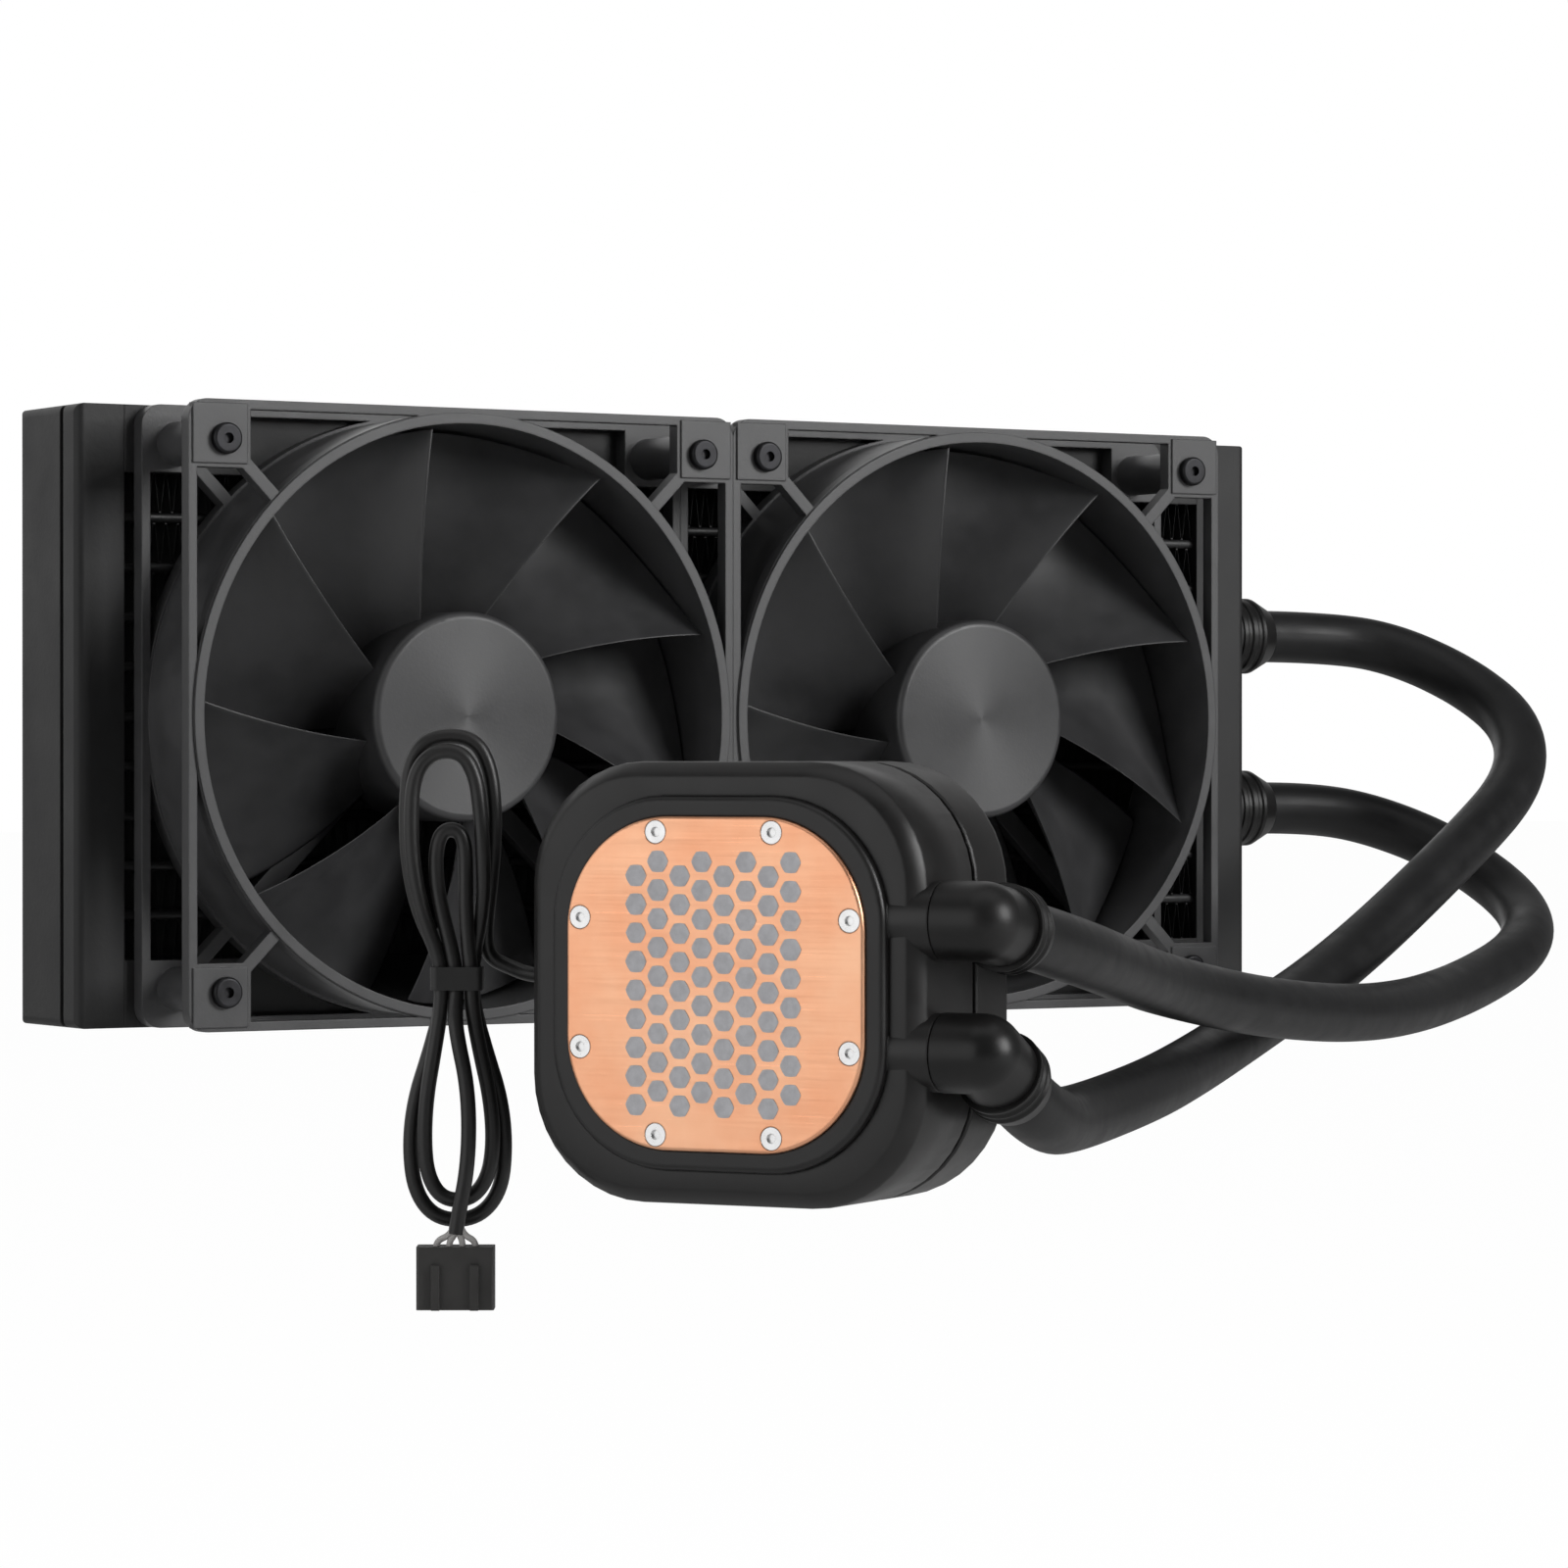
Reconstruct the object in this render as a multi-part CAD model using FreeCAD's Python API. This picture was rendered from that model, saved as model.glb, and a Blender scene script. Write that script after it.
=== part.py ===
import FreeCAD, Part
import math
import os

# Closed liquid cooler for a computer processor: a long radiator with two fans on its front,
# and a pump block with a copper cold plate that hangs on two hoses.
# Millimetres. X runs along the radiator, +Y to its rear face, +Z up.
# The origin is the centre of the radiator's screw pattern, on its rear face.

Vec = FreeCAD.Vector

# Fans
FAN_SIZE = 120.0
FAN_DEPTH = 25.0
FAN_SCREW_EDGE = 7.5
FAN_COUNT = 2
FLANGE_THICK = 3.6
FLANGE_CORNER_R = 4.0
LIP_PROUD = 0.6
LIP_WIDTH = 2.0
BARREL_EDGE = 3.0
BARREL_WALL = 1.6
POCKET_EDGE = 1.8
PAD_SIZE = 13.0
RIB_WIDTH = 2.4
POST_R = 4.2
SCREW_CLEAR_R = 2.2
STRUT_COUNT = 4
STRUT_WIDTH = 4.0
STRUT_DEPTH = 3.0
MOTOR_BASE_SHARE = 1.0 / 6
MOTOR_BASE_THICK = 2.0

# Rotor and motor
HUB_OVER_BASE = 0.5
HUB_WALL = 1.6
HUB_TOP = 2.0
HUB_RECESS = 0.8
HUB_EDGE_R = 1.5
RUN_GAP = 1.0
BLADE_COUNT = 9
BLADE_TIP_GAP = 0.8
BLADE_THICK = 1.7
BLADE_ROOT_CHORD = 17.0
BLADE_MID_CHORD = 33.0
BLADE_TIP_CHORD = 47.0
BLADE_ROOT_PITCH = 47.0
BLADE_MID_PITCH = 32.0
BLADE_TIP_PITCH = 21.0
BLADE_SWEEP = 15.0
BLADE_CAMBER = 0.10
SHAFT_R = 1.5
SHAFT_RUN_FIT = 0.05
BEARING_R = 3.6
BEARING_LONG = 11.0
BEARING_TUBE_WALL = 1.3
MAGNET_THICK = 1.7
MAGNET_LONG = 10.0
AIR_GAP = 0.7
STATOR_LONG = 7.0
STATOR_POLES = 4
COIL_THICK = 1.6
BOARD_THICK = 1.0

# Radiator
RAD_DEPTH = 27.0
RAD_OVER_FANS = 0.0
LEFT_MARGIN = 12.0
RIGHT_MARGIN = 25.0
TANK_LEFT_LONG = 10.0
TANK_RIGHT_LONG = 13.0
TANK_EDGE_R = 1.6
TANK_GROOVE_FROM_FRONT = 7.0
TANK_GROOVE_WIDE = 1.6
TANK_GROOVE_DEEP = 0.8
RAIL_THICK = 1.2
RAIL_LIP_PAST_HOLE = 5.5
RAIL_HOLE_R = 1.75
TUBE_COUNT = 9
TUBE_THICK = 2.0
CORE_INSET = 1.4
FIN_FOLD = 10.5
FIN_THICK = 0.3

# Radiator ports
PORT_SPACING = 38.0
PORT_NECK_R = 8.0
PORT_NECK_LONG = 4.0
BARB_R = 4.0
COLLAR_LONG = 10.0
COLLAR_R = 8.3
COLLAR_END_R = 6.3
COLLAR_TAPER = 4.0
CRIMP_DEEP = 0.35
CRIMP_WIDE = 0.8

# Fan screws
SCREW_R = 1.45
SCREW_GAP = 0.05
SCREW_HEAD_R = 3.0
SCREW_HEAD_THICK = 1.6
SCREW_BITE = 4.0

# Pump block, in its own frame: x to its right, y into its depth from the cold plate, z up
BLOCK_PLACE = (-102.8, -215.5, -45.5)
BLOCK_TURN = -58.8
PLATE_BORDER = 3.3
PLATE_CORNER_R = 19.0
PLATE_THICK = 3.0
PLATE_EDGE_R = 0.6
MICROFIN_COUNT = 15
MICROFIN_BORDER = 5.0
MICROFIN_HIGH = 2.4
MICROFIN_THICK = 0.7
BASE_BORDER = 5.8
BASE_CORNER_R = 21.0
BASE_RIM = 0.8
BASE_DEPTH = 18.0
HOUSING_SIZE = 73.6
HOUSING_CORNER_R = 21.0
HOUSING_FRONT = 2.5
HOUSING_SPLIT = 23.0
SPLIT_GROOVE = 1.0
BLOCK_DEPTH = 38.5
HOUSING_WALL = 2.2
HOUSING_CHAMFER = 2.5
CAP_TOP_THICK = 2.5
CAP_EDGE_R = 3.0
PLATE_SCREW_PAST_CORNER = 2.1
PLATE_SCREW_EDGE = 2.6
PLATE_SCREW_R = 1.5
PLATE_SCREW_HEAD_R = 1.9
PLATE_SCREW_HEAD = 0.9
PLATE_SCREW_GAP = 0.1
PLATE_SCREW_LONG = 8.0
PASTE_THICK = 0.2
PASTE_COLUMNS = 8
PASTE_ROWS = 9
PASTE_BORDER = 6.3
PASTE_DOT_SHARE = 0.39

# Pump inside the block
GASKET_THICK = 1.0
GASKET_WIDE = 2.0
GASKET_BORDER = 4.1
INLET_BORDER = 1.0
INLET_DEPTH = 3.4
FLOW_PLATE_THICK = 1.5
FLOW_PLATE_BORDER = 0.5
WELL_STEP = 3.5
WELL_WALL = 1.2
WELL_END = 20.0
IMPELLER_GAP = 1.6
IMPELLER_EYE_SHARE = 0.28
IMPELLER_DISC = 1.5
IMPELLER_BLADES = 6
IMPELLER_BLADE_HIGH = 2.6
PUMP_MAGNET_STEP = 1.9
PUMP_MAGNET_LONG = 5.5
PUMP_SHAFT_R = 1.2
PUMP_RUN_GAP = 0.5
PUMP_STATOR_WIDE = 7.8
PUMP_STATOR_LONG = 4.5
PUMP_POLES = 6
PUMP_COIL_THICK = 1.2
PUMP_BOARD_BORDER = 8.6
PUMP_BOARD_GAP = 2.0
PUMP_POST_R = 2.0
PUMP_POST_BORDER = 7.0

# Elbow fittings on the block's right side
PORT_PITCH = 21.5
PORT_DEPTH = 8.5
PORT_BARREL_R = 6.5
PORT_BARREL_PROUD = 1.4
PORT_BARREL_INSIDE = 11.0
ELBOW_STUB = 7.1
ELBOW_R = 6.6
ELBOW_GAP = 0.25
SPIGOT_R = 3.6
SPIGOT_LONG = 8.0
SPIGOT_FIT = 0.05
ORING_SECTION = 0.8
ORING_SEAT = 3.0
ARM_BODY = 7.0
ARM_LONG = 14.0
SLEEVE_R = 7.4
SLEEVE_END_R = 6.4
SLEEVE_TAPER = 3.0
TILT_UPPER = 9.0
TILT_LOWER = 28.0

# Hoses, with the points that each one's route turns at
HOSE_R = 5.7
HOSE_GAP = 0.15
UPPER_HOSE_LAST_RUN = 12.0
LOWER_HOSE_LAST_RUN = 22.0
UPPER_HOSE_FROM_PORT = [
    (16.0, 0.0, 0.0),
    (31.0, -6.5, -2.0),
    (42.0, -20.5, -10.0),
    (43.0, -37.5, -20.0),
    (32.0, -51.5, -32.0),
    (4.0, -66.5, -46.0),
]
UPPER_HOSE_FROM_BLOCK = [
    (217.8, 114.5, -4.5),
    (169.8, 84.5, -16.4),
    (138.8, 57.5, -20.3),
    (108.8, 29.5, -22.5),
    (72.8, 1.5, -25.0),
]
LOWER_HOSE_FROM_PORT = [
    (15.0, 0.0, 0.0),
    (29.0, -5.5, -3.0),
    (40.0, -18.5, -10.0),
    (43.0, -39.5, -21.5),
    (27.0, -60.5, -30.0),
    (-10.0, -81.5, -38.0),
]
LOWER_HOSE_FROM_BLOCK = [
    (204.8, 87.5, -13.5),
    (156.8, 58.5, -10.0),
    (116.8, 35.5, -4.0),
    (88.8, 9.5, 0.5),
]

# Pump lead: a boot on the block's left side, a hank tied at its waist, and a plug
CABLE_R = 1.3
BOOT_DEPTH = 19.5
BOOT_R = 3.2
BOOT_END_R = 1.9
BOOT_LONG = 5.0
BOOT_ROOT = 3.0
HANK_FROM_BOOT = (-14.8, 6.2)
HANK_TURN = -31.5
HANK_THICK = 5.2
HANK_WAIST_Z = -45.8
WAIST_HIGH = 4.4
WAIST_WIDE = 9.0
UPPER_LOOP_TOP = -4.5
UPPER_LOOP_WIDE = 18.0
UPPER_HOLE = (7.6, 12.0)
LOWER_LOOP_BOTTOM = -88.0
LOWER_LOOP_WIDE = 19.0
LOWER_HOLE = (7.0, 27.0)
LOOP_STRAND = 4.2
TIE_WALL = 0.7
TIE_GAP = 0.1
TAIL_FORWARD = 4.4
TAIL_ASIDE = 2.2
LEAD_TURNS = [
    (-2.0, 3.3, 0.0),
    (-4.7, 5.8, 1.4),
    (-8.2, 7.1, 2.9),
    (-12.1, 7.0, 4.1),
]
PLUG_WIDE = 13.2
PLUG_HIGH = 10.7
PLUG_THICK = 5.8
PLUG_TOP = -91.2
PLUG_KEY = 0.9

# Values worked out from the sizes above
RAD_HEIGHT = FAN_SIZE + 2 * RAD_OVER_FANS
FAN_SCREW_PITCH = FAN_SIZE - 2 * FAN_SCREW_EDGE
RAIL_LIP = (RAD_HEIGHT - FAN_SCREW_PITCH) / 2 + RAIL_LIP_PAST_HOLE
BARREL_BORE_R = FAN_SIZE / 2 - BARREL_EDGE
MOTOR_BASE_R = FAN_SIZE * MOTOR_BASE_SHARE
HUB_R = MOTOR_BASE_R + HUB_OVER_BASE
BASE_SIZE = HOUSING_SIZE - 2 * BASE_BORDER
PLATE_SIZE = BASE_SIZE - 2 * PLATE_BORDER
PLATE_SCREW_FAR = PLATE_SIZE / 2 - PLATE_SCREW_EDGE
PLATE_SCREW_NEAR = PLATE_SIZE / 2 - PLATE_CORNER_R + PLATE_SCREW_PAST_CORNER
PASTE_PITCH = (PLATE_SIZE - 2 * PASTE_BORDER) / PASTE_ROWS
PASTE_DOT_R = PASTE_PITCH * PASTE_DOT_SHARE
GASKET_SIDE = 2 * (PLATE_SCREW_FAR - GASKET_BORDER)
INLET_SIDE = GASKET_SIDE - 2 * (GASKET_WIDE + INLET_BORDER)
MICROFIN_FIELD = INLET_SIDE - 2 * MICROFIN_BORDER
FLOW_PLATE_R = INLET_SIDE / 2 - FLOW_PLATE_BORDER
WELL_R = FLOW_PLATE_R - WELL_STEP
IMPELLER_R = WELL_R - IMPELLER_GAP
FLOW_HOLE_R = IMPELLER_R * IMPELLER_EYE_SHARE
PUMP_MAGNET_R = IMPELLER_R - PUMP_MAGNET_STEP
PUMP_STATOR_R = WELL_R + WELL_WALL + PUMP_STATOR_WIDE
PUMP_BOARD_SIDE = HOUSING_SIZE - 2 * (HOUSING_WALL + PUMP_BOARD_BORDER)
PUMP_POST_PITCH = PUMP_BOARD_SIDE - 2 * PUMP_POST_BORDER
PORT_BARREL_START = BASE_SIZE / 2 - PORT_BARREL_INSIDE
PORT_BARREL_END = HOUSING_SIZE / 2 + PORT_BARREL_PROUD
ELBOW_AXIS = PORT_BARREL_END + ELBOW_STUB
FAN_FRONT = -RAD_DEPTH - FAN_DEPTH
FAN_REAR = -RAD_DEPTH
FAN_CENTRES = [FAN_SIZE * (i - (FAN_COUNT - 1) / 2.0) for i in range(FAN_COUNT)]
FAN_NAMES = ["left", "right"]
HALF_PITCH = FAN_SCREW_PITCH / 2.0
RAD_LEFT = -FAN_SIZE * FAN_COUNT / 2.0 - LEFT_MARGIN
RAD_RIGHT = FAN_SIZE * FAN_COUNT / 2.0 + RIGHT_MARGIN
CORE_LEFT = RAD_LEFT + TANK_LEFT_LONG
CORE_RIGHT = RAD_RIGHT - TANK_RIGHT_LONG
AXIS_Y = Vec(0, 1, 0)


def save(name, shape):
    """Writes one sub-part's STEP file."""
    shape.exportStep("parts/%s.step" % name)


def box(x0, x1, y0, y1, z0, z1):
    """A box from its low corner to its high corner."""
    return Part.makeBox(x1 - x0, y1 - y0, z1 - z0, Vec(x0, y0, z0))


def rod(radius, start, end):
    """A round bar from one point to another."""
    along = end - start
    return Part.makeCylinder(radius, along.Length, start, along)


def tube(outer, inner, start, end):
    """A round bar with a round bore."""
    return rod(outer, start, end).cut(rod(inner, start, end))


def turned(profile, start, along):
    """A solid turned from (distance, radius) pairs, around the line from start along a direction."""
    points = [Vec(r, 0, d) for d, r in profile]
    points.append(points[0])
    face = Part.Face(Part.makePolygon(points))
    solid = face.revolve(Vec(0, 0, 0), Vec(0, 0, 1), 360)
    solid.Placement = FreeCAD.Placement(start, FreeCAD.Rotation(Vec(0, 0, 1), along))
    return Part.makeSolid(solid) if solid.ShapeType != "Solid" else solid


def round_square(side, corner_r, y0, y1, high=None):
    """A prism along Y with a rounded square outline, centred on the Y axis."""
    high = side if high is None else high
    block = box(-side / 2, side / 2, y0, y1, -high / 2, high / 2)
    upright = [
        e for e in block.Edges
        if abs(e.Vertexes[0].Y - e.Vertexes[1].Y) > (y1 - y0) / 2.0
    ]
    return block.makeFillet(corner_r, upright)


def edges_at(shape, y):
    """The edges that lie wholly in the plane at y."""
    return [e for e in shape.Edges if all(abs(v.Y - y) < 1e-6 for v in e.Vertexes)]


def moved(shape, x, y, z):
    """A copy of the shape, shifted."""
    copy = shape.copy()
    copy.translate(Vec(x, y, z))
    return copy


def turned_about_y(shape, degrees, centre=Vec(0, 0, 0)):
    """A copy of the shape, turned about a line along Y."""
    copy = shape.copy()
    copy.rotate(centre, AXIS_Y, degrees)
    return copy


def on_block(shape):
    """Moves a shape from the block's own frame to its place in the part."""
    copy = shape.copy()
    copy.rotate(Vec(0, 0, 0), Vec(0, 0, 1), BLOCK_TURN)
    copy.translate(Vec(*BLOCK_PLACE))
    return copy


def block_point(point):
    """A point of the block's own frame, in the part's frame."""
    turn = FreeCAD.Rotation(Vec(0, 0, 1), BLOCK_TURN)
    return turn.multVec(point) + Vec(*BLOCK_PLACE)


def routed_tube(name, radius, points):
    """A tube of straight runs joined by tangent arcs, each arc as large as its two runs allow."""
    edges = []
    radii = []
    start = points[0]
    for before, corner, after in zip(points, points[1:], points[2:]):
        back = before - corner
        ahead = after - corner
        turn = math.pi - back.getAngle(ahead)
        reach = 0.45 * min(back.Length, ahead.Length)
        radii.append(reach / math.tan(turn / 2.0))
        back.normalize()
        ahead.normalize()
        first = corner + back * reach
        last = corner + ahead * reach
        bisector = back + ahead
        bisector.normalize()
        depth = radii[-1] * (1.0 / math.cos(turn / 2.0) - 1.0)
        edges.append(Part.LineSegment(start, first).toShape())
        edges.append(Part.Arc(first, corner + bisector * depth, last).toShape())
        start = last
    edges.append(Part.LineSegment(start, points[-1]).toShape())
    path = Part.Wire(edges)
    ring = Part.makeCircle(radius, points[0], points[1] - points[0])
    solid = path.makePipeShell([Part.Wire([ring])], True, True)
    ideal = math.pi * radius ** 2 * path.Length
    print("%s: length %.1f, least radius %.1f, radii %s, volume ratio %.4f" % (
        name, path.Length, min(radii), [round(r) for r in radii], solid.Volume / ideal))
    return solid


# Radiator tanks, rails, flat tubes and folded fins


def tank(x0, x1, end_x):
    """A box tank with rounded outer edges and a groove down its end face."""
    half = RAD_HEIGHT / 2
    body = box(x0, x1, -RAD_DEPTH, 0, -half, half)
    outer = [
        e for e in body.Edges
        if abs(e.Vertexes[0].X - end_x) < 1e-6 and abs(e.Vertexes[1].X - end_x) < 1e-6
    ]
    body = body.makeFillet(TANK_EDGE_R, outer)
    groove_y = -RAD_DEPTH + TANK_GROOVE_FROM_FRONT
    groove = box(
        end_x - TANK_GROOVE_DEEP, end_x + TANK_GROOVE_DEEP,
        groove_y - TANK_GROOVE_WIDE / 2, groove_y + TANK_GROOVE_WIDE / 2,
        -half, half,
    )
    return body.cut(groove)


def rail(side):
    """A hollow rail above or below the core. Its front takes the fans' screws snugly, and
    its rear has the wider holes that hold the radiator in a case."""
    outer = side * RAD_HEIGHT / 2
    low, high = sorted((outer, outer - side * RAIL_LIP))
    body = box(CORE_LEFT, CORE_RIGHT, -RAD_DEPTH, 0, low, high)
    low, high = sorted((outer - side * RAIL_THICK, outer - side * (RAIL_LIP - RAIL_THICK)))
    body = body.cut(box(
        CORE_LEFT, CORE_RIGHT, -RAD_DEPTH + RAIL_THICK, -RAIL_THICK, low, high))
    for centre in FAN_CENTRES:
        for x in (centre - HALF_PITCH, centre + HALF_PITCH):
            z = side * HALF_PITCH
            body = body.cut(rod(RAIL_HOLE_R, Vec(x, -RAIL_THICK - 1, z), Vec(x, 1, z)))
            body = body.cut(rod(
                SCREW_R + SCREW_GAP, Vec(x, -RAD_DEPTH - 1, z),
                Vec(x, -RAD_DEPTH + RAIL_THICK + 1, z)))
    return body


def core_pieces():
    """The flat tubes and the folded fin strips between them, bottom to top."""
    low = -RAD_HEIGHT / 2 + RAIL_LIP
    high = -low
    row = (high - low - TUBE_COUNT * TUBE_THICK) / (TUBE_COUNT + 1)
    front = -RAD_DEPTH + CORE_INSET
    rear = -CORE_INSET
    strip = fin_strip(row, front, rear)
    tubes = []
    fins = []
    for i in range(TUBE_COUNT + 1):
        z = low + i * (row + TUBE_THICK)
        fins.append(moved(strip, CORE_LEFT, 0, z))
        if i < TUBE_COUNT:
            flat = box(CORE_LEFT, CORE_RIGHT, front, rear, z + row, z + row + TUBE_THICK)
            ends = [e for e in flat.Edges if abs(e.Vertexes[0].X - e.Vertexes[1].X) > 1]
            tubes.append(flat.makeFillet(TUBE_THICK * 0.48, ends))
    return Part.makeCompound(tubes), Part.makeCompound(fins)


def fin_strip(high, front, rear):
    """One fin strip, folded to and fro between two tubes: a zigzag band along X."""
    long = CORE_RIGHT - CORE_LEFT
    folds = max(2, 2 * int(long / FIN_FOLD))
    step = long / folds
    slant = math.hypot(step, high)
    side = FIN_THICK * slant / high / 2.0
    lift = FIN_THICK * slant / step / 2.0
    upper = []
    lower = []
    for i in range(folds + 1):
        x = i * step
        if i % 2:
            upper.append(Vec(x, front, high))
            lower.append(Vec(x, front, high - 2 * lift))
        else:
            upper.append(Vec(x, front, 2 * lift))
            lower.append(Vec(x, front, 0))
    for line in (upper, lower):
        line[0].x += side
        line[-1].x -= side
    outline = upper + lower[::-1]
    outline.append(outline[0])
    return Part.Face(Part.makePolygon(outline)).extrude(Vec(0, rear - front, 0))


def port_heights():
    """The two radiator ports' heights, by name."""
    return {"upper": PORT_SPACING / 2, "lower": -PORT_SPACING / 2}


def right_tank():
    """The tank with the two hose ports, each a neck and a barb inside the hose's collar."""
    body = tank(CORE_RIGHT, RAD_RIGHT, RAD_RIGHT)
    for z in port_heights().values():
        seat = Vec(RAD_RIGHT - TANK_GROOVE_DEEP - 1, -RAD_DEPTH / 2, z)
        neck = Vec(RAD_RIGHT + PORT_NECK_LONG, -RAD_DEPTH / 2, z)
        tip = Vec(RAD_RIGHT + PORT_NECK_LONG + COLLAR_LONG - HOSE_GAP, -RAD_DEPTH / 2, z)
        body = body.fuse(rod(PORT_NECK_R, seat, neck)).fuse(rod(BARB_R, neck, tip))
    return body.removeSplitter()


def port_collar(z):
    """The crimped collar over a radiator port's barb, tapering to the hose."""
    start = Vec(RAD_RIGHT + PORT_NECK_LONG, -RAD_DEPTH / 2, z)
    profile = crimped(COLLAR_LONG, COLLAR_TAPER, COLLAR_R, COLLAR_END_R)
    return turned(profile, start, Vec(1, 0, 0))


def crimped(long, taper, outer, end):
    """The half section of a sleeve over a barb: two pressed rings, then a taper to the hose."""
    straight = long - taper
    section = [(0, BARB_R), (0, outer)]
    for share in (0.3, 0.75):
        middle = straight * share
        section += [
            (middle - CRIMP_WIDE / 2 - CRIMP_DEEP, outer),
            (middle - CRIMP_WIDE / 2, outer - CRIMP_DEEP),
            (middle + CRIMP_WIDE / 2, outer - CRIMP_DEEP),
            (middle + CRIMP_WIDE / 2 + CRIMP_DEEP, outer),
        ]
    return section + [(straight, outer), (long, end), (long, BARB_R)]


# Fan frame, rotor and motor, drawn for a fan centred on the Y axis


def cup_rim():
    """Where the rotor's cup ends, a running gap in front of the base and its struts."""
    return FAN_REAR - max(MOTOR_BASE_THICK, STRUT_DEPTH) - RUN_GAP


def fan_outline(y0, y1):
    """The fan's square outline with small rounded corners."""
    return round_square(FAN_SIZE, FLANGE_CORNER_R, y0, y1)


def corner_pockets(y0, y1):
    """The cut-outs beside each screw pad: what the ring, the pad, the rib and the edge leave."""
    half = FAN_SIZE / 2 - POCKET_EDGE
    ring_r = BARREL_BORE_R + BARREL_WALL + 0.6
    quarter = box(0, half, y0, y1, 0, half)
    quarter = quarter.cut(Part.makeCylinder(ring_r, y1 - y0, Vec(0, y0, 0), AXIS_Y))
    pad = FAN_SIZE / 2 - PAD_SIZE
    quarter = quarter.cut(box(pad, half + 1, y0, y1, pad, half + 1))
    rib = box(0, FAN_SIZE, y0, y1, -RIB_WIDTH / 2, RIB_WIDTH / 2)
    quarter = quarter.cut(turned_about_y(rib, -45))
    return [turned_about_y(quarter, 90 * i) for i in range(4)]


def fan_frame():
    """The moulded frame: two flanges, the barrel between them, posts, struts and motor base."""
    front = fan_outline(FAN_FRONT + LIP_PROUD, FAN_FRONT + FLANGE_THICK)
    rear = fan_outline(FAN_REAR - FLANGE_THICK, FAN_REAR)
    barrel_r = BARREL_BORE_R + BARREL_WALL
    barrel = rod(barrel_r, Vec(0, FAN_FRONT + LIP_PROUD, 0), Vec(0, FAN_REAR, 0))
    lip = rod(BARREL_BORE_R + LIP_WIDTH, Vec(0, FAN_FRONT, 0), Vec(0, FAN_FRONT + 2, 0))
    body = front.fuse([rear, barrel, lip])
    for x in (-HALF_PITCH, HALF_PITCH):
        for z in (-HALF_PITCH, HALF_PITCH):
            body = body.fuse(rod(POST_R, Vec(x, FAN_FRONT + 1, z), Vec(x, FAN_REAR, z)))
            pad = PAD_SIZE / 2
            px = math.copysign(FAN_SIZE / 2 - pad, x)
            pz = math.copysign(FAN_SIZE / 2 - pad, z)
            body = body.fuse(box(
                px - pad + 0.8, px + pad - 0.8, FAN_FRONT + 0.2, FAN_FRONT + 2,
                pz - pad + 0.8, pz + pad - 0.8))
    for pocket in corner_pockets(FAN_FRONT - 1, FAN_FRONT + FLANGE_THICK + 1):
        body = body.cut(pocket)
    for pocket in corner_pockets(FAN_REAR - FLANGE_THICK - 1, FAN_REAR + 1):
        body = body.cut(pocket)
    bore = rod(BARREL_BORE_R, Vec(0, FAN_FRONT - 1, 0), Vec(0, FAN_REAR + 1, 0))
    body = body.cut(bore)
    for x in (-HALF_PITCH, HALF_PITCH):
        for z in (-HALF_PITCH, HALF_PITCH):
            body = body.cut(rod(
                SCREW_CLEAR_R, Vec(x, FAN_FRONT - 1, z), Vec(x, FAN_REAR + 1, z)))
    return body.fuse(motor_mount()).removeSplitter()


def motor_mount():
    """The struts, the round base in the middle and the tube that holds the bearing."""
    strut_top = FAN_REAR - STRUT_DEPTH
    reach = BARREL_BORE_R + BARREL_WALL / 2
    base = rod(MOTOR_BASE_R, Vec(0, FAN_REAR - MOTOR_BASE_THICK, 0), Vec(0, FAN_REAR, 0))
    for i in range(STRUT_COUNT):
        strut = box(
            MOTOR_BASE_R - 1, reach, strut_top, FAN_REAR - 0.2,
            -STRUT_WIDTH / 2, STRUT_WIDTH / 2)
        base = base.fuse(turned_about_y(strut, 45 + 360.0 * i / STRUT_COUNT))
    tube_r = BEARING_R + BEARING_TUBE_WALL
    holder = rod(tube_r, Vec(0, FAN_REAR - 1 - BEARING_LONG, 0), Vec(0, FAN_REAR, 0))
    bore = rod(
        BEARING_R, Vec(0, FAN_REAR - 2 - BEARING_LONG, 0), Vec(0, FAN_REAR - 1, 0))
    return base.fuse(holder).cut(bore)


def blade_section(radius, chord, pitch, lean):
    """A thin cambered section across the blade, at one radius: two arcs between its edges."""
    middle_y = (FAN_FRONT + FAN_REAR) / 2 - 1.2
    across = math.radians(pitch)
    tangent = Vec(math.cos(across), -math.sin(across), 0)
    normal = Vec(math.sin(across), math.cos(across), 0)
    centre = Vec(0, middle_y, radius)
    rise = chord * BLADE_CAMBER
    lead = centre - tangent * (chord / 2)
    trail = centre + tangent * (chord / 2)
    outer = centre + normal * (rise + BLADE_THICK / 2)
    inner = centre + normal * (rise - BLADE_THICK / 2)
    wire = Part.Wire([
        Part.Arc(lead, outer, trail).toShape(),
        Part.Arc(trail, inner, lead).toShape(),
    ])
    wire.rotate(Vec(0, 0, 0), AXIS_Y, lean)
    return wire


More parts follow.
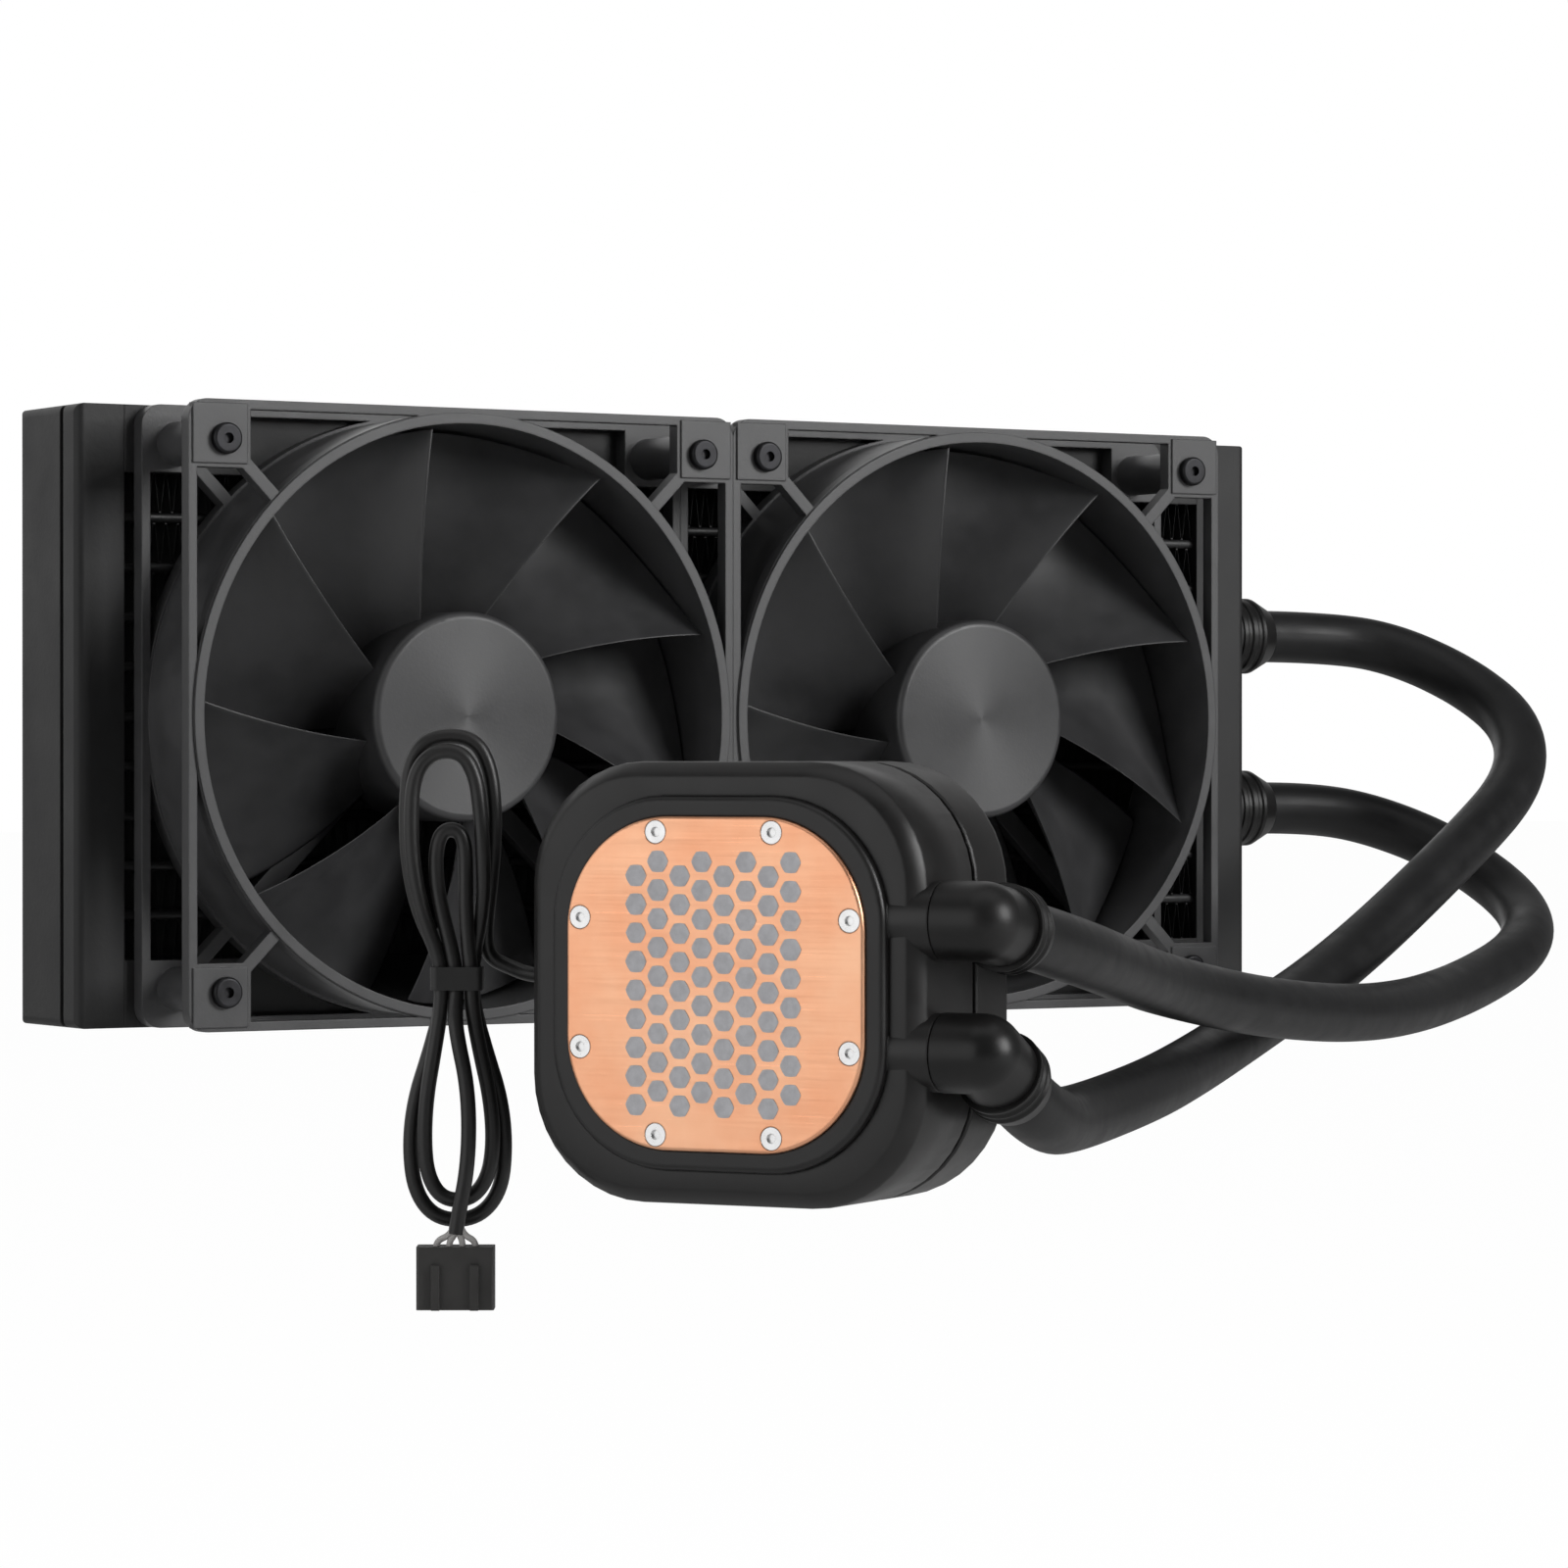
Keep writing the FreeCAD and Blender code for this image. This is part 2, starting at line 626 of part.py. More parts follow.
def rotor():
    """The hub cup with its swept blades, moulded as one piece."""
    tip_r = BARREL_BORE_R - BLADE_TIP_GAP
    top = FAN_FRONT + HUB_RECESS
    rim = cup_rim()
    hub = rod(HUB_R, Vec(0, top, 0), Vec(0, rim, 0))
    hub = hub.makeFillet(HUB_EDGE_R, edges_at(hub, top))
    root_r = HUB_R - 1.0
    mid_r = (root_r + tip_r) / 2
    blade = Part.makeLoft([
        blade_section(root_r, BLADE_ROOT_CHORD, BLADE_ROOT_PITCH, 0),
        blade_section(mid_r, BLADE_MID_CHORD, BLADE_MID_PITCH, BLADE_SWEEP / 2),
        blade_section(tip_r + 4, BLADE_TIP_CHORD, BLADE_TIP_PITCH, BLADE_SWEEP),
    ], True, False)
    blade = blade.common(rod(tip_r, Vec(0, FAN_FRONT, 0), Vec(0, FAN_REAR, 0)))
    blades = [turned_about_y(blade, 360.0 * i / BLADE_COUNT) for i in range(BLADE_COUNT)]
    body = hub.fuse(blades)
    body = body.cut(rod(HUB_R - HUB_WALL, Vec(0, top + HUB_TOP, 0), Vec(0, rim + 9, 0)))
    boss_end = FAN_REAR - 1 - BEARING_LONG - RUN_GAP
    body = body.fuse(rod(BEARING_R, Vec(0, top + HUB_TOP - 0.5, 0), Vec(0, boss_end, 0)))
    return body.cut(rod(SHAFT_R, Vec(0, top + HUB_TOP, 0), Vec(0, boss_end + 1, 0)))


def fan_shaft():
    """The steel shaft, pressed into the hub's boss and running in the bearing."""
    top = FAN_FRONT + HUB_RECESS + HUB_TOP
    return rod(SHAFT_R, Vec(0, top, 0), Vec(0, FAN_REAR - 1.6, 0))


def fan_bearing():
    """The plain bearing in the frame's tube."""
    return tube(
        BEARING_R, SHAFT_R + SHAFT_RUN_FIT,
        Vec(0, FAN_REAR - 1 - BEARING_LONG, 0), Vec(0, FAN_REAR - 1, 0))


def fan_magnet():
    """The ring magnet inside the hub cup."""
    outer = HUB_R - HUB_WALL
    end = cup_rim() - 1.0
    return tube(outer, outer - MAGNET_THICK, Vec(0, end - MAGNET_LONG, 0), Vec(0, end, 0))


def poles(outer, inner, root, long, middle, count, arm_width, shoe_share=0.8):
    """A pole star on the Y axis: a ring at the root, arms, and shoes at the outside."""
    y0 = middle - long / 2
    y1 = middle + long / 2
    star = tube(root, inner, Vec(0, y0, 0), Vec(0, y1, 0))
    for i in range(count):
        arm = box(inner + 0.6, outer - 0.5, y0, y1, -arm_width / 2, arm_width / 2)
        star = star.fuse(turned_about_y(arm, 360.0 * i / count))
    shoe_ring = tube(outer, outer - 1.6, Vec(0, y0, 0), Vec(0, y1, 0))
    slot = 2 * math.pi * outer * (1 - shoe_share) / count
    for i in range(count):
        gap = box(outer - 3, outer + 1, y0 - 1, y1 + 1, -slot / 2, slot / 2)
        shoe_ring = shoe_ring.cut(turned_about_y(gap, 360.0 * (i + 0.5) / count))
    return star.fuse(shoe_ring).removeSplitter()


def coils(outer, root, long, middle, count, arm_width, thick):
    """One winding around each arm of a pole star."""
    y0 = middle - long / 2 - thick
    y1 = middle + long / 2 + thick
    made = []
    for i in range(count):
        wide = arm_width / 2 + thick
        coil = box(root + 0.3, outer - 1.9, y0, y1, -wide, wide)
        hole = box(
            root, outer, middle - long / 2, middle + long / 2,
            -arm_width / 2, arm_width / 2)
        made.append(turned_about_y(coil.cut(hole), 360.0 * i / count))
    return Part.makeCompound(made)


def fan_stator_sizes():
    """The stator's outer radius, bore, ring radius and middle, from the cup and the tube."""
    outer = HUB_R - HUB_WALL - MAGNET_THICK - AIR_GAP
    bore = BEARING_R + BEARING_TUBE_WALL
    middle = FAN_REAR - MOTOR_BASE_THICK - BOARD_THICK - 1.4 - STATOR_LONG / 2
    return outer, bore, bore + 1.4, middle - COIL_THICK


def fan_board():
    """The motor's round circuit board, lying on the motor base around the tube."""
    rear = FAN_REAR - MOTOR_BASE_THICK
    outer = HUB_R - HUB_WALL - MAGNET_THICK - AIR_GAP
    bore = BEARING_R + BEARING_TUBE_WALL
    return tube(outer, bore, Vec(0, rear - BOARD_THICK, 0), Vec(0, rear, 0))


def fan_screws(centre):
    """Four long screws through a fan's corners into the radiator's front lips."""
    made = []
    seat = FAN_FRONT + 0.2
    for x in (centre - HALF_PITCH, centre + HALF_PITCH):
        for z in (-HALF_PITCH, HALF_PITCH):
            head = rod(SCREW_HEAD_R, Vec(x, seat - SCREW_HEAD_THICK, z), Vec(x, seat, z))
            head = head.makeFillet(0.6, edges_at(head, seat - SCREW_HEAD_THICK))
            stem = rod(SCREW_R, Vec(x, seat, z), Vec(x, FAN_REAR + SCREW_BITE, z))
            socket = rod(
                1.0, Vec(x, seat - SCREW_HEAD_THICK, z), Vec(x, seat - 0.5, z))
            made.append(head.fuse(stem).cut(socket).removeSplitter())
    return Part.makeCompound(made)


# Pump block, in its own frame


def plate_screw_places():
    """The eight cold plate screws, two near the middle of each side."""
    near = PLATE_SCREW_NEAR
    far = PLATE_SCREW_FAR
    places = []
    for a in (-near, near):
        for b in (-far, far):
            places += [(a, b), (b, a)]
    return places


def cold_plate():
    """The copper plate with its rounded edge, screw counterbores and the fins milled inside."""
    plate = round_square(PLATE_SIZE, PLATE_CORNER_R, 0, PLATE_THICK)
    plate = plate.makeFillet(PLATE_EDGE_R, edges_at(plate, 0))
    step = MICROFIN_FIELD / (MICROFIN_COUNT - 1)
    half = MICROFIN_FIELD / 2
    for i in range(MICROFIN_COUNT):
        x = -half + i * step
        plate = plate.fuse(box(
            x - MICROFIN_THICK / 2, x + MICROFIN_THICK / 2,
            PLATE_THICK - 0.2, PLATE_THICK + MICROFIN_HIGH, -half, half))
    for x, z in plate_screw_places():
        plate = plate.cut(rod(PLATE_SCREW_R, Vec(x, -1, z), Vec(x, PLATE_THICK + 1, z)))
        plate = plate.cut(rod(
            PLATE_SCREW_HEAD_R + PLATE_SCREW_GAP, Vec(x, -1, z), Vec(x, PLATE_SCREW_HEAD, z)))
    return plate.removeSplitter()


def plate_screws():
    """Eight countersunk-flush screws that hold the cold plate to the base."""
    made = []
    for x, z in plate_screw_places():
        head = rod(PLATE_SCREW_HEAD_R, Vec(x, 0.05, z), Vec(x, PLATE_SCREW_HEAD, z))
        stem = rod(PLATE_SCREW_R, Vec(x, 0.5, z), Vec(x, PLATE_SCREW_LONG, z))
        socket = rod(0.8, Vec(x, 0, z), Vec(x, 0.6, z))
        made.append(head.fuse(stem).cut(socket).removeSplitter())
    return Part.makeCompound(made)


def thermal_paste():
    """The factory-applied paste: six-sided dots in staggered columns."""
    column_step = PASTE_PITCH * math.sqrt(3) / 2
    made = []
    for i in range(PASTE_COLUMNS):
        x = (i - (PASTE_COLUMNS - 1) / 2.0) * column_step
        shift = PASTE_PITCH / 4 if i % 2 else -PASTE_PITCH / 4
        for j in range(PASTE_ROWS):
            z = (j - (PASTE_ROWS - 1) / 2.0) * PASTE_PITCH + shift
            corners = [
                Vec(x + PASTE_DOT_R * math.cos(math.radians(60 * k)), -PASTE_THICK,
                    z + PASTE_DOT_R * math.sin(math.radians(60 * k)))
                for k in range(7)
            ]
            face = Part.Face(Part.makePolygon(corners))
            made.append(face.extrude(Vec(0, PASTE_THICK, 0)))
    return Part.makeCompound(made)


def gasket():
    """The square seal between the cold plate and the base."""
    inner = GASKET_SIDE - 2 * GASKET_WIDE
    outer = round_square(GASKET_SIDE, 6, PLATE_THICK, PLATE_THICK + GASKET_THICK)
    return outer.cut(round_square(inner, 4, PLATE_THICK, PLATE_THICK + GASKET_THICK))


def port_axis(sign):
    """A point on a block port's line, at the block's middle plane."""
    return Vec(0, PORT_DEPTH, sign * PORT_PITCH / 2)


def pump_base():
    """The base moulding: plate seat, inlet chamber, impeller well and two port barrels."""
    start = BASE_RIM
    body = round_square(BASE_SIZE, BASE_CORNER_R, start, BASE_DEPTH)
    body = body.makeFillet(1.0, edges_at(body, start))
    body = body.fuse(rod(WELL_R + WELL_WALL, Vec(0, BASE_DEPTH - 1, 0), Vec(0, WELL_END, 0)))
    post_end = WELL_END + PUMP_BOARD_GAP
    for x in (-PUMP_POST_PITCH / 2, PUMP_POST_PITCH / 2):
        for z in (-PUMP_POST_PITCH / 2, PUMP_POST_PITCH / 2):
            body = body.fuse(rod(PUMP_POST_R, Vec(x, BASE_DEPTH - 1, z), Vec(x, post_end, z)))
    for sign in (-1, 1):
        axis = port_axis(sign)
        body = body.fuse(rod(
            PORT_BARREL_R, Vec(PORT_BARREL_START, axis.y, axis.z),
            Vec(PORT_BARREL_END, axis.y, axis.z)))
    seat = round_square(PLATE_SIZE + 0.2, PLATE_CORNER_R + 0.1, start - 1, PLATE_THICK)
    body = body.cut(seat)
    body = body.cut(round_square(
        GASKET_SIDE, 6, PLATE_THICK, PLATE_THICK + GASKET_THICK).cut(round_square(
            GASKET_SIDE - 2 * GASKET_WIDE, 4, PLATE_THICK, PLATE_THICK + GASKET_THICK)))
    inlet_end = PLATE_THICK + INLET_DEPTH
    body = body.cut(round_square(INLET_SIDE, 4, PLATE_THICK - 1, inlet_end))
    plate_end = inlet_end + FLOW_PLATE_THICK
    body = body.cut(rod(FLOW_PLATE_R, Vec(0, inlet_end - 1, 0), Vec(0, plate_end, 0)))
    body = body.cut(rod(WELL_R, Vec(0, plate_end - 1, 0), Vec(0, WELL_END - WELL_WALL, 0)))
    for sign in (-1, 1):
        axis = port_axis(sign)
        inner = PORT_BARREL_END - SPIGOT_LONG - 1
        body = body.cut(rod(
            SPIGOT_R + SPIGOT_FIT,
            Vec(inner, axis.y, axis.z), Vec(PORT_BARREL_END + 1, axis.y, axis.z)))
    for x, z in plate_screw_places():
        body = body.cut(rod(
            PLATE_SCREW_R, Vec(x, PLATE_THICK - 1, z), Vec(x, PLATE_SCREW_LONG, z)))
    trench = PUMP_STATOR_R + 0.4
    body = body.cut(tube(
        trench, WELL_R + WELL_WALL,
        Vec(0, stator_middle() - PUMP_STATOR_LONG / 2 - PUMP_COIL_THICK - 0.3, 0),
        Vec(0, BASE_DEPTH + 3, 0)))
    return body.removeSplitter()


def stator_middle():
    """The pump stator's middle along the block's depth, just short of the well's end."""
    return WELL_END - PUMP_STATOR_LONG / 2 - PUMP_COIL_THICK - 0.5


def flow_plate():
    """The disc between the inlet chamber and the impeller, with its middle hole."""
    y0 = PLATE_THICK + INLET_DEPTH
    return tube(FLOW_PLATE_R, FLOW_HOLE_R, Vec(0, y0, 0), Vec(0, y0 + FLOW_PLATE_THICK, 0))


def impeller():
    """The pump wheel: a disc with curved vanes towards the flow plate and a hub behind."""
    start = PLATE_THICK + INLET_DEPTH + FLOW_PLATE_THICK + PUMP_RUN_GAP
    disc = start + IMPELLER_BLADE_HIGH
    end = disc + IMPELLER_DISC
    body = rod(IMPELLER_R, Vec(0, disc, 0), Vec(0, end, 0))
    for i in range(IMPELLER_BLADES):
        vane = box(3.6, IMPELLER_R - 0.3, start, disc + 0.2, -0.5, 0.5)
        vane = turned_about_y(vane, 25, Vec(3.6, 0, 0))
        vane = vane.common(rod(IMPELLER_R, Vec(0, start, 0), Vec(0, end, 0)))
        body = body.fuse(turned_about_y(vane, 360.0 * i / IMPELLER_BLADES))
    body = body.fuse(rod(PUMP_SHAFT_R + 1.4, Vec(0, start + 1, 0), Vec(0, magnet_end(), 0)))
    bore_r = PUMP_SHAFT_R + SHAFT_RUN_FIT
    body = body.cut(rod(bore_r, Vec(0, start - 1, 0), Vec(0, magnet_end() + 1, 0)))
    return body.removeSplitter()


def magnet_start():
    """Where the pump magnet begins along the block's depth, on the back of the disc."""
    return (PLATE_THICK + INLET_DEPTH + FLOW_PLATE_THICK + PUMP_RUN_GAP
            + IMPELLER_BLADE_HIGH + IMPELLER_DISC)


def magnet_end():
    """Where the pump magnet ends along the block's depth."""
    return magnet_start() + PUMP_MAGNET_LONG


def impeller_magnet():
    """The ring magnet on the back of the pump wheel."""
    return tube(
        PUMP_MAGNET_R, PUMP_SHAFT_R + 1.4,
        Vec(0, magnet_start(), 0), Vec(0, magnet_end(), 0))


def pump_shaft():
    """The fixed ceramic pin that the pump wheel turns on, standing in the well's end."""
    start = PLATE_THICK + INLET_DEPTH + FLOW_PLATE_THICK + PUMP_RUN_GAP + 0.4
    return rod(PUMP_SHAFT_R, Vec(0, start, 0), Vec(0, WELL_END - WELL_WALL, 0))


def pump_board():
    """The pump's circuit board, above the well."""
    y0 = WELL_END + PUMP_BOARD_GAP
    return round_square(PUMP_BOARD_SIDE, 12, y0, y0 + BOARD_THICK + 0.6)


def pump_housing():
    """The wide ring around the base, chamfered at its front, open where the ports come out."""
    body = round_square(HOUSING_SIZE, HOUSING_CORNER_R, HOUSING_FRONT, HOUSING_SPLIT)
    body = body.makeChamfer(HOUSING_CHAMFER, edges_at(body, HOUSING_FRONT))
    inner = HOUSING_SIZE - 2 * HOUSING_WALL
    body = body.cut(round_square(
        inner, HOUSING_CORNER_R - HOUSING_WALL, BASE_DEPTH, HOUSING_SPLIT + 1))
    body = body.cut(round_square(
        BASE_SIZE, BASE_CORNER_R, HOUSING_FRONT - 1, BASE_DEPTH + 1))
    for sign in (-1, 1):
        axis = port_axis(sign)
        body = body.cut(rod(
            PORT_BARREL_R, Vec(PORT_BARREL_START, axis.y, axis.z),
            Vec(PORT_BARREL_END, axis.y, axis.z)))
    return body.cut(boot_bore())


def pump_cap():
    """The cap over the pump: a shell with a rounded outer edge and a groove at its joint."""
    body = round_square(HOUSING_SIZE, HOUSING_CORNER_R, HOUSING_SPLIT, BLOCK_DEPTH)
    body = body.makeFillet(CAP_EDGE_R, edges_at(body, BLOCK_DEPTH))
    inner = HOUSING_SIZE - 2 * HOUSING_WALL
    body = body.cut(round_square(
        inner, HOUSING_CORNER_R - HOUSING_WALL, HOUSING_SPLIT - 1, BLOCK_DEPTH - CAP_TOP_THICK))
    groove = round_square(
        HOUSING_SIZE + 2, HOUSING_CORNER_R + 1, HOUSING_SPLIT, HOUSING_SPLIT + SPLIT_GROOVE)
    groove = groove.cut(round_square(
        HOUSING_SIZE - SPLIT_GROOVE * 2, HOUSING_CORNER_R - SPLIT_GROOVE,
        HOUSING_SPLIT, HOUSING_SPLIT + SPLIT_GROOVE))
    return body.cut(groove)


# Elbows, sleeves and hoses


def arm_direction(tilt):
    """The way an elbow's arm points: into the block's depth, dipped by its tilt."""
    angle = math.radians(tilt)
    return Vec(0, math.cos(angle), -math.sin(angle))


def elbow_corner(sign):
    """Where an elbow's arm meets its stub."""
    axis = port_axis(sign)
    return Vec(ELBOW_AXIS, axis.y, axis.z)


def elbow(sign, tilt):
    """A swivelling elbow: spigot with a seal groove, stub, round corner, arm and barb."""
    corner = elbow_corner(sign)
    along = arm_direction(tilt)
    face = Vec(PORT_BARREL_END + ELBOW_GAP, corner.y, corner.z)
    body = rod(ELBOW_R, face, corner)
    body = body.fuse(Part.makeSphere(ELBOW_R, corner))
    body = body.fuse(rod(ELBOW_R, corner, corner + along * ARM_BODY))
    barb_end = corner + along * (ARM_LONG - HOSE_GAP)
    body = body.fuse(rod(BARB_R, corner + along * (ARM_BODY - 1), barb_end))
    spigot = rod(SPIGOT_R, face - Vec(SPIGOT_LONG, 0, 0), face + Vec(1, 0, 0))
    seat = face - Vec(ORING_SEAT, 0, 0)
    groove = tube(
        SPIGOT_R + 1, SPIGOT_R - ORING_SECTION,
        seat - Vec(ORING_SECTION, 0, 0), seat + Vec(ORING_SECTION, 0, 0))
    return body.fuse(spigot.cut(groove)).removeSplitter()


def oring(sign):
    """The seal in an elbow's spigot groove."""
    corner = elbow_corner(sign)
    seat = Vec(PORT_BARREL_END + ELBOW_GAP - ORING_SEAT, corner.y, corner.z)
    return Part.makeTorus(
        SPIGOT_R - ORING_SECTION / 2, ORING_SECTION / 2, seat, Vec(1, 0, 0))


def hose_sleeve(sign, tilt):
    """The crimped sleeve over an elbow's barb, tapering to the hose."""
    start = elbow_corner(sign) + arm_direction(tilt) * ARM_BODY
    long = ARM_LONG - ARM_BODY
    profile = crimped(long, SLEEVE_TAPER, SLEEVE_R, SLEEVE_END_R)
    return turned(profile, start, arm_direction(tilt))


def hose_points(port_z, from_port, from_block, sign, tilt, last_run):
    """A hose's whole route: turns measured from its radiator port, then from the block."""
    start = Vec(RAD_RIGHT + PORT_NECK_LONG + COLLAR_LONG, -RAD_DEPTH / 2, port_z)
    along = arm_direction(tilt)
    end = elbow_corner(sign) + along * (ARM_LONG + HOSE_GAP)
    before = end + along * last_run
    route = [start] + [start + Vec(*p) for p in from_port]
    route += [Vec(*BLOCK_PLACE) + Vec(*p) for p in from_block]
    return route + [block_point(before), block_point(end)]


# Pump lead


def boot_bore():
    """The space that the lead's boot takes in the housing's left wall."""
    left = -HOUSING_SIZE / 2
    return rod(BOOT_R, Vec(left - 1, BOOT_DEPTH, 0), Vec(left + BOOT_ROOT, BOOT_DEPTH, 0))


def boot():
    """The tapered strain relief where the lead leaves the housing."""
    left = -HOUSING_SIZE / 2
    profile = [
        (-BOOT_ROOT, 0), (-BOOT_ROOT, BOOT_R), (0, BOOT_R), (BOOT_LONG, BOOT_END_R),
        (BOOT_LONG, 0),
    ]
    return turned(profile, Vec(left, BOOT_DEPTH, 0), Vec(-1, 0, 0))


def boot_end():
    """The middle of the boot's thin end, where the lead comes out."""
    return block_point(Vec(-HOUSING_SIZE / 2 - BOOT_LONG, BOOT_DEPTH, 0))


def hank_place():
    """The hank's upright middle line, beside the boot."""
    return boot_end() + Vec(HANK_FROM_BOOT[0], HANK_FROM_BOOT[1], 0)


def hank_point(across, forward, z):
    """A point given across the hank's face, forward of it, and at a height."""
    turn = math.radians(HANK_TURN)
    place = hank_place()
    x = place.x + across * math.cos(turn) + forward * math.sin(turn)
    y = place.y + across * math.sin(turn) - forward * math.cos(turn)
    return Vec(x, y, z)


def loop_lobe(wide, z0, z1, strand, hole, hole_z):
    """One end of the hank: a rounded pear of turns, with the eye that they leave open."""
    half = HANK_THICK / 2
    tip = z1 if abs(z1 - HANK_WAIST_Z) > abs(z0 - HANK_WAIST_Z) else z0
    away = 1 if tip > HANK_WAIST_Z else -1
    centre = Vec(0, -half, tip - away * wide / 2)
    waist = HANK_WAIST_Z + away * WAIST_HIGH / 2
    round_end = Part.makeCylinder(wide / 2, HANK_THICK, centre, AXIS_Y)
    outline = [
        Vec(-wide / 2, -half, centre.z), Vec(wide / 2, -half, centre.z),
        Vec(WAIST_WIDE / 2 - TIE_WALL, -half, waist),
        Vec(-WAIST_WIDE / 2 + TIE_WALL, -half, waist),
        Vec(-wide / 2, -half, centre.z),
    ]
    body = round_end.fuse(
        Part.Face(Part.makePolygon(outline)).extrude(Vec(0, HANK_THICK, 0)))
    eye_half = hole[0] / 2
    top = hole_z + hole[1] / 2 - eye_half
    low = hole_z - hole[1] / 2 + eye_half
    eye = box(-eye_half, eye_half, -half - 1, half + 1, low, top)
    for z in (low, top):
        eye = eye.fuse(Part.makeCylinder(
            eye_half, HANK_THICK + 2, Vec(0, -half - 1, z), AXIS_Y))
    return body.cut(eye)


def hank():
    """The folded lead as one solid: two lobes with open eyes, joined at the tied waist."""
    upper = loop_lobe(
        UPPER_LOOP_WIDE, HANK_WAIST_Z, UPPER_LOOP_TOP, LOOP_STRAND, UPPER_HOLE,
        UPPER_LOOP_TOP - LOOP_STRAND - UPPER_HOLE[1] / 2)
    lower = loop_lobe(
        LOWER_LOOP_WIDE, LOWER_LOOP_BOTTOM, HANK_WAIST_Z, LOOP_STRAND, LOWER_HOLE,
        LOWER_LOOP_BOTTOM + LOOP_STRAND + LOWER_HOLE[1] / 2)
    waist = box(
        -WAIST_WIDE / 2 + TIE_WALL, WAIST_WIDE / 2 - TIE_WALL,
        -HANK_THICK / 2, HANK_THICK / 2,
        HANK_WAIST_Z - WAIST_HIGH / 2, HANK_WAIST_Z + WAIST_HIGH / 2)
    return place_hank(upper.fuse([lower, waist]).removeSplitter())


def place_hank(shape):
    """Moves a shape drawn on the hank's own axes to its place beside the block."""
    copy = shape.copy()
    copy.rotate(Vec(0, 0, 0), Vec(0, 0, 1), HANK_TURN)
    copy.translate(Vec(hank_place().x, hank_place().y, 0))
    return copy


def tie():
    """The strap around the hank's waist."""
    half = HANK_THICK / 2
    wide = WAIST_WIDE / 2
    inset = TIE_WALL - TIE_GAP
    z0 = HANK_WAIST_Z - WAIST_HIGH / 2 + 0.2
    z1 = HANK_WAIST_Z + WAIST_HIGH / 2 - 0.2
    outer = box(-wide, wide, -half - TIE_WALL, half + TIE_WALL, z0, z1)
    upright = [e for e in outer.Edges if abs(e.Vertexes[0].Z - e.Vertexes[1].Z) > 1]
    outer = outer.makeFillet(1.2, upright)
    inner = box(-wide + inset, wide - inset, -half - TIE_GAP, half + TIE_GAP, z0 - 1, z1 + 1)
    return place_hank(outer.cut(inner))


def plug():
    """The small connector: a flat box with two key ribs and its row of contact slots."""
    z1 = PLUG_TOP
    z0 = PLUG_TOP - PLUG_HIGH
    y = -TAIL_FORWARD
    half = PLUG_THICK / 2
    body = box(-PLUG_WIDE / 2, PLUG_WIDE / 2, y - half, y + half, z0, z1)
    upright = [e for e in body.Edges if abs(e.Vertexes[0].Z - e.Vertexes[1].Z) > 1]
    body = body.makeFillet(0.5, upright)
    for x in (-PLUG_WIDE / 4, PLUG_WIDE / 4):
        body = body.fuse(box(
            x - 0.7, x + 0.7, y - half - PLUG_KEY, y - half + 0.1, z0, z1 - 3))
    pitch = 2.54
    for i in range(4):
        x = (i - 1.5) * pitch
        body = body.cut(box(x - 0.6, x + 0.6, y - 1.1, y + 0.1, z0 - 1, z0 + 7))
    return place_hank(body)


def lead_route():
    """The stretch of lead from the boot into the back of the hank, just above the tie."""
    return [boot_end()] + [boot_end() + Vec(*p) for p in LEAD_TURNS]


def tail_route():
    """The stretch of lead from the hank's waist, down in front of its lower lobe, to the plug."""
    start_z = HANK_WAIST_Z - WAIST_HIGH / 2 - 2.6
    drop = start_z - PLUG_TOP
    front = HANK_THICK / 2 + CABLE_R + 0.4
    return [
        hank_point(-0.4, HANK_THICK / 2 + 0.05, start_z),
        hank_point(0.0, front, start_z - drop * 0.1),
        hank_point(TAIL_ASIDE, front + 0.4, start_z - drop * 0.35),
        hank_point(TAIL_ASIDE, TAIL_FORWARD + 0.2, start_z - drop * 0.65),
        hank_point(0.2, TAIL_FORWARD, start_z - drop * 0.9),
        hank_point(0.0, TAIL_FORWARD, PLUG_TOP),
    ]


def make_radiator():
    save("tank_left", tank(RAD_LEFT, CORE_LEFT, RAD_LEFT))
    save("tank_right", right_tank())
    save("rail_top", rail(1))
    save("rail_bottom", rail(-1))
    tubes, fins = core_pieces()
    save("core_tubes", tubes)
    save("core_fins", fins)
    for name, z in port_heights().items():
        save("port_collar_%s" % name, port_collar(z))


def make_fans():
    outer, bore, root, middle = fan_stator_sizes()
    arm = 2.6
    pieces = {
        "fan_frame": fan_frame(),
        "fan_rotor": rotor(),
        "fan_shaft": fan_shaft(),
        "fan_bearing": fan_bearing(),
        "fan_magnet": fan_magnet(),
        "fan_stator": poles(outer, bore, root, STATOR_LONG, middle, STATOR_POLES, arm),
        "fan_coils": coils(outer, root, STATOR_LONG, middle, STATOR_POLES, arm, COIL_THICK),
        "fan_board": fan_board(),
    }
    for name, centre in zip(FAN_NAMES, FAN_CENTRES):
        for piece, shape in pieces.items():
            save("%s_%s" % (piece, name), moved(shape, centre, 0, 0))
        save("fan_screws_%s" % name, fan_screws(centre))


